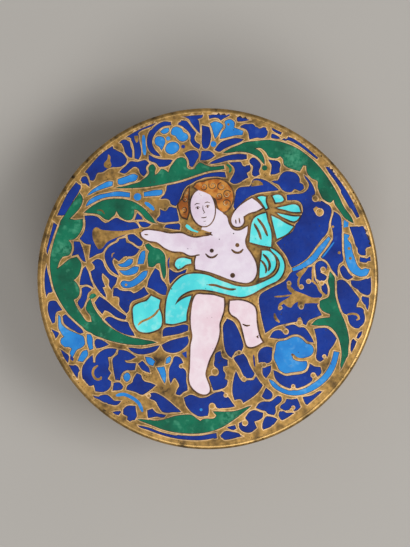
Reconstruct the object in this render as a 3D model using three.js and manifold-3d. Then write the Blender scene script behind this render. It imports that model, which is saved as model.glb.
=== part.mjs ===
// A round bronze box. Its lid lifts off an inner neck, and carries a picture in coloured enamel
// between gilt walls.
// Millimetres, +Z up, standing on z = 0, with +Y at the top of the picture.
import * as THREE from "three";
import { mergeVertices } from "three/addons/utils/BufferGeometryUtils.js";
import Module from "manifold-3d";

const wasm = await Module();
wasm.setup();

// Driving dimensions of the turned bronze
const lidRadius = 40;
const lidWall = 1.8;
const lidHeight = 8.8;
const slipClearance = 0.25;
const neckWall = 1.2;
const neckRise = 6;
const neckChamfer = 0.5;
const seatGap = 0.05;
const bodyWall = 1.5;
const bodyHeight = 18.8;
const footHeight = 2;
const footWidth = 4.6;
const footSetback = 0.5;
const baseThickness = 1.4;
const plateThickness = 1.8;
const mouldingHeight = 1.5;
const mouldingDepth = 0.4;
const edgeRound = 0.8;
const segments = 48;

// Driving dimensions of the enamelled face
const borderWidth = 1;
const groundThickness = 0.8;
const cellDepth = 0.4;
const cellWall = 0.3;
const rimWall = 0.45;
const fillGap = 0.05;
const drawnRadius = 39;

// Sizes that follow from the driving ones
const lidInner = lidRadius - lidWall;
const neckOuter = lidInner - slipClearance;
const neckInner = neckOuter - neckWall;
const bodyInner = neckOuter + seatGap;
const bodyOuter = bodyInner + bodyWall;
const bodyFloor = footHeight + baseThickness;
const rim = footHeight + bodyHeight;
const lidBottom = rim + seatGap;
const lidTop = lidBottom + lidHeight;
const plateTop = lidTop + plateThickness;
const recessRadius = lidRadius - borderWidth;
const fieldRadius = recessRadius - seatGap;
const groundTop = plateTop + groundThickness;
const faceTop = groundTop + cellDepth;

const materials = {
  bronze: new THREE.MeshStandardMaterial({ color: 0x8f6a36, roughness: 0.42, metalness: 1 }),
  gilt: new THREE.MeshStandardMaterial({ color: 0xb98c4a, roughness: 0.36, metalness: 1 }),
  cobalt: new THREE.MeshStandardMaterial({ color: 0x243a96, roughness: 0.2, metalness: 0 }),
  leaf: new THREE.MeshStandardMaterial({ color: 0x0a735a, roughness: 0.2, metalness: 0 }),
  sky: new THREE.MeshStandardMaterial({ color: 0x3891d7, roughness: 0.2, metalness: 0 }),
  sea: new THREE.MeshStandardMaterial({ color: 0x6ee6e1, roughness: 0.2, metalness: 0 }),
  skin: new THREE.MeshStandardMaterial({ color: 0xf0dcea, roughness: 0.25, metalness: 0 }),
  hair: new THREE.MeshStandardMaterial({ color: 0xc87832, roughness: 0.25, metalness: 0 }),
};

// The picture's outlines, in millimetres from the lid's centre on a field of drawnRadius.
const hair = {
  hair_crown: [
    [-3.2, 21.6], [-2.6, 22.4], [-1, 22.7], [0.6, 23.2], [2.6, 23.3], [4.4, 22.4], [5.6, 20.8],
    [5.9, 18.9], [5.2, 17], [4, 15.8], [2.9, 16], [2.2, 17.4], [1.9, 18.6], [0.6, 19.6],
    [-0.8, 20.3], [-2.2, 20.8]
  ],
  hair_side: [
    [-5, 20.8], [-4.5, 21.4], [-4.6, 19.6], [-4.7, 17.6], [-4.6, 15.6], [-5, 14.2], [-6, 14.6],
    [-6.6, 16], [-6.9, 17.4], [-6, 18.6], [-5.5, 19.8]
  ],
};

const skin = {
  torso: [
    [-14.9, 11.3], [-12, 11.2], [-9, 10.6], [-6, 10.6], [-4.6, 10], [-3, 9.6], [-1, 9.9],
    [0.6, 10.3], [1.2, 12], [2.4, 14.4], [3.3, 15.4], [4.4, 14.6], [4.9, 12.9], [5.9, 11.5],
    [7.4, 11.3], [9.3, 12.3], [9.2, 10.8], [8.7, 9], [9, 7.5], [10.2, 5.7], [11.2, 3.6],
    [11.4, 1.6], [10.7, -0.1], [9.4, -0.9], [7.6, -0.8], [5, -0.1], [2.4, 0.9], [0, 1.7],
    [-2.9, 2.3], [-3, 4], [-2.6, 5.6], [-4.2, 5.5], [-6, 6.3], [-8.3, 6.5], [-10, 7.2], [-12, 8.6],
    [-14, 9], [-15.5, 10], [-15.7, 10.8]
  ],
  hand: [
    [10.3, 18.9], [11.6, 18], [12.8, 16.7], [11.3, 15.9], [9.6, 15.4], [8.3, 14.6], [8.4, 13.4],
    [8, 12.6], [7, 12.2], [5.9, 12.6], [5.5, 13.8], [6, 15.3], [7.3, 16.9], [8.9, 18.1]
  ],
  leg_left: [
    [-2.6, -3.7], [-1, -3.7], [1.5, -3.9], [3.7, -4.6], [3.8, -6], [3.6, -7.7], [3.1, -9.2],
    [2.7, -10.5], [2.7, -12.5], [2.3, -14.5], [1.5, -16.5], [0.4, -18.7], [-0.2, -20.5],
    [-0.6, -22.5], [-0.2, -23.8], [0.3, -25.2], [0.4, -26.3], [-0.2, -27], [-1.6, -27],
    [-3, -26.2], [-4, -25], [-4.4, -23.5], [-4.2, -21], [-4.1, -18], [-4, -15.5], [-3.6, -13.5],
    [-3.9, -11.5], [-4, -9.3], [-3.8, -7], [-3.4, -5]
  ],
  leg_right: [
    [5.2, -5.2], [7.5, -5.1], [9.5, -5.6], [10.9, -6.6], [11.3, -8], [11.4, -10], [11.7, -12],
    [12.2, -13.8], [12.8, -14.8], [11.5, -15.6], [10.2, -16], [9.3, -15.8], [8.8, -14.6],
    [8.4, -13], [8, -11.4], [7.5, -10], [6.6, -9], [5.6, -8.4], [5.1, -7.6], [5.1, -6.3]
  ],
};

const sea = {
  drape: [
    [-9.9, -10.4], [-9.9, -7.5], [-9.5, -4.4], [-8.5, -2], [-7, -0.2], [-5.2, 0.9], [-2.5, 1.2],
    [0, 0.8], [2.4, -0.2], [4.4, -0.9], [6.3, -1.6], [8.6, -1.9], [10.4, -1.7], [12.4, -1],
    [14.2, -0.2], [15.8, 0.8], [16.7, 2.2], [16.9, 3.8], [16.2, 5.3], [15, 6.5], [14.6, 7.2],
    [16, 6.4], [17.3, 5], [17.9, 3.2], [17.6, 1.4], [16.4, -0.3], [14.4, -1.3], [12.3, -2.4],
    [10.4, -3.5], [8.2, -4.2], [6, -4], [3.5, -3.4], [1, -2.8], [-1.5, -2.5], [-3.8, -2.7],
    [-5.4, -3.3], [-6.8, -4.4], [-7.8, -6.2], [-6.6, -5.2], [-5.2, -4.4], [-3.9, -4], [-4.5, -6],
    [-5, -8], [-5.1, -9.8], [-6.8, -10.3], [-8.4, -10.6]
  ],
  drape_hip: [
    [12.1, 0.2], [12.3, 3.6], [12.6, 5.2], [12.7, 6.6], [14.2, 6.5], [15.3, 5.6], [15.9, 4.2],
    [15.7, 2.6], [14.8, 1.4], [13.4, 0.5]
  ],
  drape_shoulder: [
    [11, 14.3], [12.2, 15], [13.6, 15.4], [14, 13.5], [14.6, 11.8], [14.9, 10], [14.8, 7.5],
    [12.5, 7.9], [9.8, 8.6], [10, 11], [10.4, 13.3]
  ],
  ribbon_curl: [
    [11.6, 19.1], [12.6, 19.4], [13.6, 19.2], [13.5, 18.2], [14, 16.6], [13.6, 16.4], [13, 17.4],
    [12.3, 18.4]
  ],
  ribbon_knot: [
    [15.2, 19.4], [16, 19.7], [17.2, 19.5], [17.8, 18.6], [17.5, 18.2], [15.9, 17.9], [15.6, 18.6]
  ],
  ribbon_upper: [
    [16.2, 16.6], [18, 17], [20.5, 17.4], [21.2, 17], [21.7, 15.7], [20, 15.7], [18, 16.2]
  ],
  ribbon_middle: [
    [16.2, 15.4], [18, 15], [20, 14.6], [21.5, 14.6], [21, 13.9], [20.2, 13.5], [18.4, 14.1],
    [17, 14.8]
  ],
  ribbon_lower: [
    [14.9, 14.8], [16.6, 14], [18.4, 12.9], [20, 12.2], [18.6, 10.6], [16.2, 9.4], [15.8, 11],
    [15.3, 13]
  ],
  drape_end: [
    [-17.4, -6.6], [-16, -5.7], [-14.4, -5.2], [-13.3, -4], [-12.2, -4.5], [-11.2, -5],
    [-11.5, -6.8], [-11, -8.2], [-10.8, -10], [-11.2, -11.4], [-12.6, -12.2], [-14.6, -12.6],
    [-16.2, -12.2], [-17.2, -10.8], [-17.5, -8.8]
  ],
  drape_elbow: [
    [-7.7, 3.2], [-7.3, 4.4], [-6, 4.9], [-4, 4.5], [-3.9, 3.6], [-5.2, 3.3], [-6.2, 2.6],
    [-7, 2.3]
  ],
};

const leaf = {
  leaf_crest: [
    [-21.5, 21.3], [-18, 22], [-15.8, 22.7], [-14.8, 23.5], [-13.7, 24.6], [-13.9, 25.6],
    [-13.6, 26.5], [-12.9, 26.7], [-12.4, 26], [-12.6, 25], [-12.5, 24.1], [-11.6, 24.7],
    [-10.9, 25.7], [-10.1, 25.4], [-9.2, 24.7], [-8.6, 26.3], [-7.6, 27.8], [-5.9, 28.3],
    [-5.1, 27.5], [-5, 26], [-4.2, 25.5], [-3.2, 25.8], [-2.7, 26.7], [-1.8, 27.1], [-0.7, 26.6],
    [0.6, 26.2], [3.6, 26.4], [3.7, 25.9], [0.5, 25.3], [-3, 24.3], [-6.5, 23.2], [-11, 22.2],
    [-15, 21.6]
  ],
  leaf_trumpet: [
    [-28.8, 15.6], [-27, 17], [-25, 18.2], [-22.5, 18.7], [-19.5, 18.5], [-17.2, 17.8],
    [-15, 16.3], [-13.3, 14.4], [-12.1, 13], [-13.8, 13.7], [-15.4, 15], [-16.4, 16.2],
    [-17.4, 16.4], [-17.5, 14.9], [-18.3, 13.8], [-19.5, 13.8], [-20.5, 14.6], [-21.5, 16.4],
    [-22, 15], [-23.2, 13.7], [-24.2, 14.2], [-25.6, 15.2]
  ],
  leaf_west: [
    [-30.1, 20.3], [-29.5, 18.6], [-30, 17], [-31.4, 15.3], [-32.7, 14], [-31.2, 13.7],
    [-29.5, 13.9], [-29.5, 12.3], [-30.3, 10.6], [-31.5, 9.4], [-33.1, 9.2], [-32.2, 8.2],
    [-31.9, 7], [-32.6, 5.7], [-34.2, 5.2], [-35.7, 1.9], [-34, 3.2], [-32.4, 4.5], [-30.8, 5],
    [-30, 4], [-29.9, 2.2], [-30.7, 0.6], [-31.7, -0.3], [-30.6, -1.5], [-30.2, -3], [-30.7, -4.3],
    [-31.7, -4.8], [-31, -6.5], [-29.8, -8.4], [-28.3, -10.2], [-27.1, -10.2], [-27.4, -8.6],
    [-28.4, -7.2], [-28.3, -5.9], [-27.6, -4.9], [-27.1, -6.4], [-25.4, -9], [-23, -11.2],
    [-20, -12.9], [-16.5, -14.1], [-12.3, -14.9], [-15.5, -15.4], [-19, -15.2], [-23.5, -14.2],
    [-27.4, -12.7], [-30.5, -10.4], [-33, -7.6], [-35, -4.4], [-36.5, -0.6], [-36.9, 3.5],
    [-36.4, 7.6], [-35.2, 11.7], [-33.4, 15.4]
  ],
  leaf_tulip: [
    [-14.6, 7.9], [-13.9, 8.2], [-12.9, 7.3], [-11.4, 6.8], [-10.3, 5.6], [-10.1, 3.5], [-10, 1],
    [-10.3, 0], [-10.8, 2], [-11.1, 3.8], [-12, 3.7], [-12.9, 2.9], [-13.8, 3], [-14, 5],
    [-13.6, 6.6], [-14.3, 7.2]
  ],
  leaf_north_east: [
    [3.8, 29.6], [6, 30.8], [8.5, 31.8], [11.5, 32.2], [15, 32.4], [18, 31.7], [21, 30.4],
    [24, 28.2], [26.6, 25.5], [28.8, 22.4], [30.4, 19.6], [31.8, 16.7], [33.6, 14.2], [34, 13.2],
    [32.2, 14.4], [30.9, 16.2], [29.9, 17.6], [29.6, 19], [28.6, 18], [27.5, 18.3], [26.5, 19.9],
    [25.9, 21.6], [25.8, 23], [24.4, 23.7], [23.4, 25], [23.2, 26.6], [22.3, 26.8], [21.5, 25.4],
    [20, 25.8], [18, 26.8], [17.7, 28.2], [16.9, 28.9], [15.8, 28.3], [14.6, 28.5], [13.6, 29.9],
    [12.4, 30.8], [10.4, 30.6], [12, 29.9], [13, 28.3], [13.2, 27], [12.2, 28.1], [10.6, 29.3],
    [8.4, 29.9], [6, 29.8]
  ],
  leaf_east: [
    [28.7, 1.5], [29.5, 0.6], [29.7, -1.5], [29.8, -4], [30.4, -6.2], [31.2, -8.4], [32.1, -10.5],
    [32.8, -13.2], [33, -15.8], [32.6, -18.2], [31.7, -20.4], [31, -21.6], [31.3, -19.6],
    [31.5, -17.6], [31.2, -15.4], [30.6, -13.4], [29.5, -11.8], [28.2, -10.9], [26.4, -10.9],
    [24.5, -10.7], [25.6, -9.7], [27.2, -9.3], [28.7, -9.2], [28.8, -8.2], [27.3, -7.6],
    [26.2, -6.5], [26.2, -5.2], [27.6, -4.8], [28.5, -4.2], [28.6, -2.4], [28.3, -0.4]
  ],
  leaf_south: [
    [-16.3, -33], [-14, -33.2], [-12, -33.4], [-10, -33], [-7.6, -32.3], [-5.4, -32],
    [-3.8, -32.1], [-2.7, -32.9], [-1.8, -33.5], [-0.9, -33], [1.6, -32.8], [2.2, -32],
    [1.4, -31.2], [4, -31.3], [6.6, -31.1], [9.9, -29.9], [8, -31.4], [5.6, -33.2], [3, -34.8],
    [0, -35.8], [-3.5, -36.2], [-7, -36], [-10.5, -35.2], [-13.6, -34]
  ],
};

const sky = {
  stem_north_west: [
    [-21, 22.4], [-21, 23.3], [-19, 24], [-17.3, 24.5], [-16.5, 24.1], [-16.9, 23.2],
    [-18.5, 22.7], [-20.5, 22.1]
  ],
  stem_upper_left: [
    [-22.5, 21.9], [-22.4, 22.7], [-23.2, 22.8], [-25, 22], [-27, 20.8], [-28.2, 19.6],
    [-26, 20.7]
  ],
  stem_over_trumpet: [
    [-28.5, 17.1], [-27.9, 18.2], [-26, 19.4], [-23.5, 20], [-21, 20.4], [-18.4, 20.1],
    [-18.4, 19.2], [-21, 19.4], [-24, 19.1], [-26.2, 18.3]
  ],
  stem_middle_left: [
    [-14.9, 19.4], [-14.9, 20.2], [-12.5, 20.7], [-10.8, 20.8], [-10.7, 20], [-11.2, 19.7],
    [-13, 19.5]
  ],
  tulip_tip: [
    [-21, 3.3], [-19.8, 3.6], [-18.4, 4.6], [-17.7, 4.5], [-17.8, 3.8], [-18.8, 3], [-20.3, 2.9]
  ],
  tulip_petal_right: [
    [-16.4, 3.5], [-16.2, 4.6], [-15.3, 6.4], [-14.8, 6.5], [-14.8, 5], [-15.2, 3.6]
  ],
  tulip_petal_middle: [
    [-20.7, 1.9], [-19, 1.9], [-17.2, 2.8], [-16.3, 2.7], [-16.6, 1.7], [-18, 1], [-19.6, 1]
  ],
  tulip_petal_lower: [
    [-20.4, -1.2], [-20, -0.6], [-18.3, -0.7], [-16.6, 0.3], [-15, 1.7], [-14.2, 1.8],
    [-14.5, 0.7], [-16, -0.8], [-18, -1.9], [-19.9, -1.9]
  ],
  flower_north_tip: [
    [-11, 34.5], [-10.3, 35.2], [-9.3, 35.3], [-9.1, 34.8], [-9.6, 34.3], [-10.5, 34.1]
  ],
  flower_north_petal_right: [
    [-8.6, 34.5], [-8.2, 35.3], [-7.2, 35.6], [-6.2, 35.2], [-5.9, 34.4], [-5, 33.9], [-4.7, 33.2],
    [-5.2, 32.5], [-6.1, 32.3], [-7, 32.8], [-7.6, 33.6], [-8.4, 33.9]
  ],
  flower_north_petal_left: [
    [-12.4, 32.2], [-12.1, 33.1], [-11.2, 33.3], [-10.4, 33], [-10.1, 32.2], [-10.5, 31],
    [-10.9, 30.3], [-11.3, 31], [-12.1, 31.5]
  ],
  flower_north_petal_low: [
    [-9.9, 30.6], [-9.2, 31.7], [-8, 32], [-7.1, 31.6], [-6.8, 30.7], [-7.3, 29.9], [-8.5, 29.3],
    [-9.7, 29.8]
  ],
  bud_top_left: [
    [0.6, 36.3], [1.6, 36.8], [2.8, 36.5], [3.6, 36], [3, 35], [2.3, 33.7], [1.7, 33], [1.3, 34.4],
    [1, 35.5]
  ],
  bud_top_right: [
    [4, 36.8], [4.7, 37.4], [5.7, 37.3], [6.2, 36.5], [6, 35.4], [7.2, 35], [8.2, 34.6], [8, 33.8],
    [6.3, 33.7], [4.4, 33.2], [2.9, 32.9], [3.3, 34.2], [4.2, 35.4]
  ],
  ribbon_east: [
    [28.7, 9.4], [28.3, 9.8], [26.2, 7.6], [24.2, 5.4], [21.8, 3.5], [19.6, 2.5], [19.9, 1.6],
    [22.4, 2.4], [25, 4.2], [27, 6.7]
  ],
  fish: [
    [32, 10.5], [33.1, 10.2], [32.8, 9.2], [33.5, 8], [33.8, 6.4], [34.4, 4.6], [35, 3], [36, 2],
    [37, 2.4], [38, 2.3], [37.6, 1.2], [36.2, 0.6], [34.8, 0.9], [33.4, 2], [32.5, 4], [32, 6.5],
    [32, 8.5]
  ],
  flower_east: [
    [15.6, -18.5], [15.9, -16.6], [16.3, -15], [17.4, -14.6], [18.6, -14.4], [19.8, -13.8],
    [21.2, -13.7], [22.3, -14.4], [23, -15.2], [24.2, -15.6], [24.7, -16.6], [24.3, -17.7],
    [22.8, -18.4], [21, -18.4], [20.2, -17.6], [19.6, -17.9], [20, -18.9], [21.2, -19.4],
    [23, -19.4], [23.3, -20.2], [22.6, -21.3], [21, -21.7], [19.4, -21.9], [18.2, -22.1],
    [16.9, -21.4], [16.3, -20.2]
  ],
  stem_south_east: [
    [14.4, -23.7], [15.2, -25.1], [17, -26.4], [19.4, -27.2], [22, -27.1], [24.4, -26.2],
    [26.6, -24.8], [28.5, -22.9], [29.8, -20.6], [30.7, -17.3], [29.6, -17.1], [29, -19.4],
    [27.9, -21.6], [26.2, -23.5], [24, -25], [21.6, -26], [19, -26.2], [16.8, -25.4], [15.2, -24]
  ],
  petal_south_large: [
    [-11.9, -20.9], [-10.3, -20.7], [-9.9, -22.5], [-10.1, -24.4], [-10.7, -23.4], [-11.3, -22]
  ],
  petal_south_small: [
    [-14.6, -18.4], [-13.4, -18.6], [-12.5, -19.4], [-12.9, -20.3], [-14, -19.9]
  ],
  petal_south_drop: [
    [-9.8, -19.8], [-9.6, -18.7], [-8.9, -18.3], [-8.6, -18.8], [-9, -19.6]
  ],
  flower_west: [
    [-35, -8.6], [-34.6, -9], [-34.4, -10.6], [-33.4, -11.5], [-32, -12.2], [-30.6, -12.8],
    [-29.4, -13.4], [-29, -14.4], [-29, -15.4], [-29.8, -16.1], [-30.8, -16.6], [-31.4, -17.6],
    [-31.8, -18.4], [-32.4, -17.6], [-31.8, -16.4], [-32.6, -15.9], [-33.6, -15.9], [-34.5, -15.2],
    [-34.6, -14.4], [-33.6, -13.6], [-34.2, -12.9], [-34.9, -11.6], [-35, -10]
  ],
  flower_west_petal: [
    [-28.3, -13.1], [-27.5, -13], [-27, -14.6], [-27, -16.3], [-27.7, -16.6], [-28.2, -15]
  ],
  flower_west_low: [
    [-28.4, -16.8], [-28.2, -17.6], [-29.3, -19.4], [-30.4, -19.2], [-30, -18.2], [-29.2, -17]
  ],
  bud_south_west: [
    [-19.75, -23], [-19.4, -22.2], [-19, -21.95], [-18.6, -22.2], [-18.25, -23], [-18.6, -23.8],
    [-19, -24.05], [-19.4, -23.8]
  ],
};

const cobaltFields = {
  north_west: [
    [
      [-30.9, 22.7], [-30.1, 21.9], [-30.1, 20.8], [-31.6, 18.2], [-33.5, 15], [-35.4, 14.8],
      [-34.3, 17.4], [-32.7, 20.4]
    ],
    [
      [-29.9, 23.1], [-29.5, 23.9], [-28.7, 24.1], [-28, 23.2], [-27.9, 21.9], [-28.6, 22.5],
      [-29.4, 22.6]
    ],
    [
      [-28.9, 25], [-27, 27.3], [-25, 29.4], [-22.4, 31.2], [-21.9, 30.2], [-20.8, 29.6],
      [-20, 29.2], [-19.2, 28], [-19.3, 26.9], [-20.5, 26.5], [-23.2, 26.2], [-24.8, 25.2],
      [-26, 25], [-27, 23.2], [-27.7, 23.1], [-28, 24.4]
    ],
    [
      [-20.8, 31.9], [-20.1, 32.6], [-19.1, 32.6], [-18.5, 31.9], [-18.3, 30.8], [-17.8, 30],
      [-17.9, 28.6], [-18.4, 28.7], [-19.2, 29.5], [-19.5, 30.8], [-19.9, 31.5]
    ],
    [
      [-19.4, 33.1], [-18, 34], [-15.8, 35.2], [-13.6, 36.1], [-12.2, 36.6], [-12.6, 36.1],
      [-14.2, 35.3], [-15.3, 34.9], [-16.2, 34.3], [-16.3, 32.4], [-16, 31], [-15.9, 29.2],
      [-16.4, 28.2], [-17, 28.4], [-17.2, 29.6], [-17.2, 31], [-17.8, 32.6], [-18.4, 33.1]
    ],
    [
      [-20.4, 25.1], [-18.2, 27.3], [-16.5, 27.2], [-14.5, 27.6], [-13.9, 27.1], [-14.8, 26.1],
      [-14.3, 25.2], [-15, 24.2], [-15.7, 24.9], [-16.1, 26], [-17.2, 26.5], [-18.6, 25.6],
      [-19.5, 24.9]
    ],
    [
      [-13.7, 28.8], [-12.6, 28.2], [-11, 27.8], [-8.2, 27.8], [-8.9, 27], [-10.2, 26.5],
      [-11.2, 26.2], [-12, 27.2], [-13.7, 27.8]
    ],
    [
      [-10.9, 18.9], [-9.6, 20.6], [-9.5, 21.8], [-7, 22.3], [-4.8, 23], [-2.4, 23.9], [0, 24.7],
      [2.2, 24.9], [3.8, 24.8], [4, 24], [2.6, 24], [1, 24.1], [-1, 23.9], [-3, 23], [-4.6, 22.1],
      [-5.7, 20.9], [-6.3, 19.4], [-6.9, 17.8], [-7.6, 17], [-8.4, 17.4], [-8.8, 18.5], [-9.8, 19]
    ],
    [
      [-12.1, 13.7], [-11, 15], [-11, 16], [-10.3, 15.7], [-9.6, 15.8], [-8.9, 16.7], [-7.3, 16.6],
      [-7.2, 15], [-6.9, 13.5], [-8.5, 13.3], [-10.5, 13.4]
    ],
    [
      [-9.9, 12.2], [-9.6, 12.6], [-6.9, 13], [-6.7, 12.6], [-6.8, 11.7], [-8, 11.8]
    ],
  ],
  north: [
    [
      [-8.6, 36.8], [-10.4, 36.9], [-12.2, 36], [-13.6, 34.3], [-14.1, 32.2], [-13.7, 30.4],
      [-12.8, 29.4], [-11.4, 28.9], [-12.7, 30.3], [-13.3, 31.8], [-13, 33.3], [-12.2, 34.6],
      [-11, 35.5], [-9.6, 36], [-8.7, 36.2]
    ],
    [
      [-6.9, 36.2], [-6.2, 37.2], [-5.2, 37], [-4, 35.4], [-2.9, 34.2], [-3.4, 33], [-3, 32],
      [-1.9, 31.3], [-2.2, 30.7], [-3.2, 31.3], [-3.9, 32.4], [-3.9, 33.6], [-4.8, 35]
    ],
    [
      [-6.1, 38], [-4, 38.3], [-1.1, 38.5], [-1.3, 37.8], [-2.4, 37.4], [-2.2, 36], [-2, 34.3],
      [-3.2, 35.9], [-4.3, 37.2], [-5.2, 37.8]
    ],
    [
      [-1.2, 35.7], [0.2, 35.4], [0.5, 34], [0.4, 32.5], [-0.1, 31], [-0.5, 30.6], [-1.1, 31],
      [-1.2, 33]
    ],
    [
      [0.1, 38.4], [2.5, 38.7], [5.3, 38.5], [4.6, 38], [3.8, 37.6], [3, 37.2], [2.4, 37.6],
      [1.2, 37.7], [0.3, 37.4]
    ],
    [
      [6.9, 38.1], [8.2, 37.9], [10, 37.3], [8.5, 36.9], [7, 36.8], [6.7, 37.4]
    ],
    [
      [7.7, 35.6], [9, 36.2], [10.6, 36.3], [11.4, 35.4], [12.2, 34.9], [12.9, 35.6], [13.7, 35.4],
      [13.7, 33.9], [12.9, 33.2], [11.5, 33.3], [9.9, 32.9], [9.6, 34.5], [8.9, 35.3]
    ],
    [
      [14.9, 35.5], [17.4, 34.3], [17.1, 33.7], [16.4, 34], [15, 35]
    ],
    [
      [15.1, 33.9], [15.9, 33.8], [16.8, 33], [16, 32.9], [15, 33.1]
    ],
    [
      [18.8, 33.4], [20.5, 32.7], [22.3, 31.5], [24.3, 29.8], [25.9, 28.4], [25.6, 28], [25, 28.4],
      [23, 30], [21, 31.4], [19, 32.4], [17.6, 32.7], [18.5, 32.9]
    ],
    [
      [27.5, 26.3], [28.5, 26.2], [30.3, 23.9], [32.4, 20.9], [34.2, 17.7], [35.6, 14.6],
      [34.9, 14.2], [33.4, 16.8], [31.4, 20.3], [29.8, 22.9], [28.2, 25.1]
    ],
    [
      [1.9, 30.3], [2.8, 31.5], [4.2, 32.4], [6, 32.8], [8.1, 32.6], [7.4, 32], [5.6, 31.4],
      [3.8, 30.7], [2.6, 30]
    ],
    [
      [-5.2, 29.4], [-4, 29.9], [-2.8, 29.8], [-2.3, 28.8], [-2.9, 27.8], [-3, 27], [-3.6, 26.3],
      [-4.1, 26.6], [-4.4, 28]
    ],
    [
      [-1.3, 29.8], [-0.2, 29.9], [0.8, 29.5], [1.3, 28.9], [0.5, 28.3], [-0.6, 28], [-1.6, 28]
    ],
    [
      [0.6, 27.1], [2.6, 28], [4.6, 28.7], [7, 29.2], [8.9, 29], [8.9, 28.3], [7, 28], [4.5, 27.9],
      [2.5, 27.4]
    ],
    [
      [5.2, 27.2], [6.5, 27.3], [7.6, 27.2], [7.9, 26.5], [8.6, 26.1], [9.2, 26.4], [9.8, 26.8],
      [9.9, 26], [9.5, 25.3], [8.9, 25], [9, 24.3], [9.2, 23.9], [8.3, 23.4], [7, 22.6], [6, 22.5],
      [5.4, 22.9], [5.9, 23.8], [6.3, 24.5], [6.5, 25.5], [6.3, 26.2], [5.8, 26.8]
    ],
    [
      [10.2, 28], [10.9, 28.3], [11.8, 27.6], [12.2, 26.8], [12, 26], [11.7, 25.4], [11.9, 24.6],
      [11, 24.2], [10.6, 24.5], [10.7, 25.5], [10.8, 26.3], [10, 26.9], [9.8, 27.3]
    ],
    [
      [14.3, 27.9], [15.2, 27.8], [16.2, 27.5], [16.8, 26.8], [16.6, 25.9], [16.6, 25.1],
      [15.6, 24.7], [14.9, 24.7], [15.1, 25.8], [15.1, 26.8]
    ],
    [
      [15.2, 22.8], [16.6, 23], [17, 23.8], [17.6, 24.6], [18.5, 25], [20, 24.8], [20.8, 24.3],
      [21.3, 23.4], [21.3, 22.4], [22.1, 22], [22.3, 21.3], [21.6, 20.8], [20.9, 21.1],
      [20.1, 21.2], [19.6, 20.6], [18.4, 20.6], [17.6, 21], [16.7, 22.2]
    ],
    [
      [6.1, 17.4], [6.4, 19.4], [7.3, 21.1], [8.8, 21.4], [10, 21.6], [10.9, 23.2], [12.4, 23.2],
      [14.3, 22.4], [16.3, 20.9], [13.5, 20.6], [11.3, 20.2], [9.6, 19.2], [7.8, 17.6], [6.3, 16]
    ],
  ],
  west: [
    [
      [-36.2, 13.3], [-35.3, 12.6], [-36.3, 9.8], [-37.1, 7.4], [-37.6, 5.7], [-37.9, 6.3],
      [-37.5, 8.4], [-36.8, 11]
    ],
    [
      [-37.9, 3.5], [-37.4, 1], [-36.9, -1.5], [-36.6, -2.9], [-37.3, -3.3], [-37.9, -4.3],
      [-38.3, -2], [-38.3, 1]
    ],
    [
      [-37.4, -5.5], [-35.8, -5.4], [-35.2, -6.2], [-34.5, -7.2], [-35.6, -7.6], [-36, -8.6],
      [-36, -10.4], [-36.5, -10.5], [-37.3, -8.6], [-37.6, -6.8]
    ],
    [
      [-36.9, -11.7], [-35.8, -12.2], [-35.1, -12.6], [-35.1, -13.3], [-35.7, -14.1], [-36.1, -13]
    ],
    [
      [-34, -8.9], [-33.4, -8.6], [-32, -9.7], [-30.8, -10.7], [-29.6, -11.8], [-29.3, -12.6],
      [-30, -12.9], [-31.2, -12.3], [-32.8, -11.3], [-33.8, -10]
    ],
    [
      [-31.3, 8.6], [-30.2, 8.5], [-29.6, 7], [-28.9, 4.2], [-29.4, 4.4], [-30.3, 6], [-31.8, 5.5],
      [-31.4, 6.9]
    ],
    [
      [-28.7, 14.6], [-27.4, 14.7], [-26, 14.3], [-24.9, 13.3], [-24, 12.8], [-23.1, 13.5],
      [-22, 14.1], [-20.5, 13.9], [-18.5, 13.2], [-16.6, 12.8], [-16.2, 12], [-18, 11],
      [-21.2, 9.5], [-21.6, 9.2], [-23.2, 8.3], [-24.4, 7], [-24.8, 6.4], [-26, 6], [-27.6, 5.1],
      [-27.4, 6.6], [-27.2, 8.2], [-28.6, 8.4], [-29.8, 9.4], [-28.8, 11], [-28.5, 13]
    ],
    [
      [-21.1, 1], [-22.7, 2.3], [-23.7, 4], [-24, 5.6], [-23.4, 7], [-22, 8], [-21, 8.5],
      [-20.8, 9.3], [-19.5, 9.4], [-19.3, 8.3], [-18, 8], [-16.3, 6.9], [-17, 5.9], [-18.2, 5.4],
      [-19.5, 5.5], [-20.9, 4.4], [-22.1, 5.2], [-22.6, 4.3], [-22.2, 2.8]
    ],
    [
      [-18.9, 10.3], [-17.9, 10.5], [-17, 9.9], [-15.5, 8.6], [-15.7, 8], [-16.5, 7.8],
      [-17.4, 8.6], [-18.3, 9.1]
    ],
    [
      [-16.2, 13.3], [-15, 13.2], [-13.6, 12.7], [-14.5, 12.3], [-15.8, 12.5]
    ],
    [
      [-16.9, 14], [-16.5, 15.3], [-15.6, 14.6], [-15.4, 14]
    ],
    [
      [-28.8, 2.6], [-28.2, 1.4], [-27.6, -0.7], [-26.8, -2.1], [-28.3, -1.3], [-29.9, -1.3],
      [-29.6, 0.6], [-29.2, 2.3]
    ],
    [
      [-29.4, -2.3], [-28.4, -1.9], [-27.3, -2.4], [-28.3, -3.3], [-28.6, -4.8], [-29.2, -6.3],
      [-29.7, -6.8], [-30.3, -5.6], [-29.6, -4.4]
    ],
    [
      [-26.9, 3.8], [-26, 4.4], [-25, 4.1], [-24.4, 2.7], [-23.2, 1], [-21.5, 0.1], [-21.8, -1],
      [-22.6, -2.6], [-23, -1.5], [-22.9, -0.3], [-23.8, 0.8], [-24.9, 1.8], [-25.1, 0.3],
      [-24.4, -1.7], [-25, -1.9], [-24, -4.2], [-25.4, -2.6], [-26.7, -0.5], [-27.3, 1.6],
      [-26.3, 2.2], [-26.4, 3.1]
    ],
    [
      [-25.4, -4.4], [-24.2, -5.1], [-22.6, -6.5], [-20.8, -7.9], [-19.4, -8.8], [-19.5, -9.4],
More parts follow.
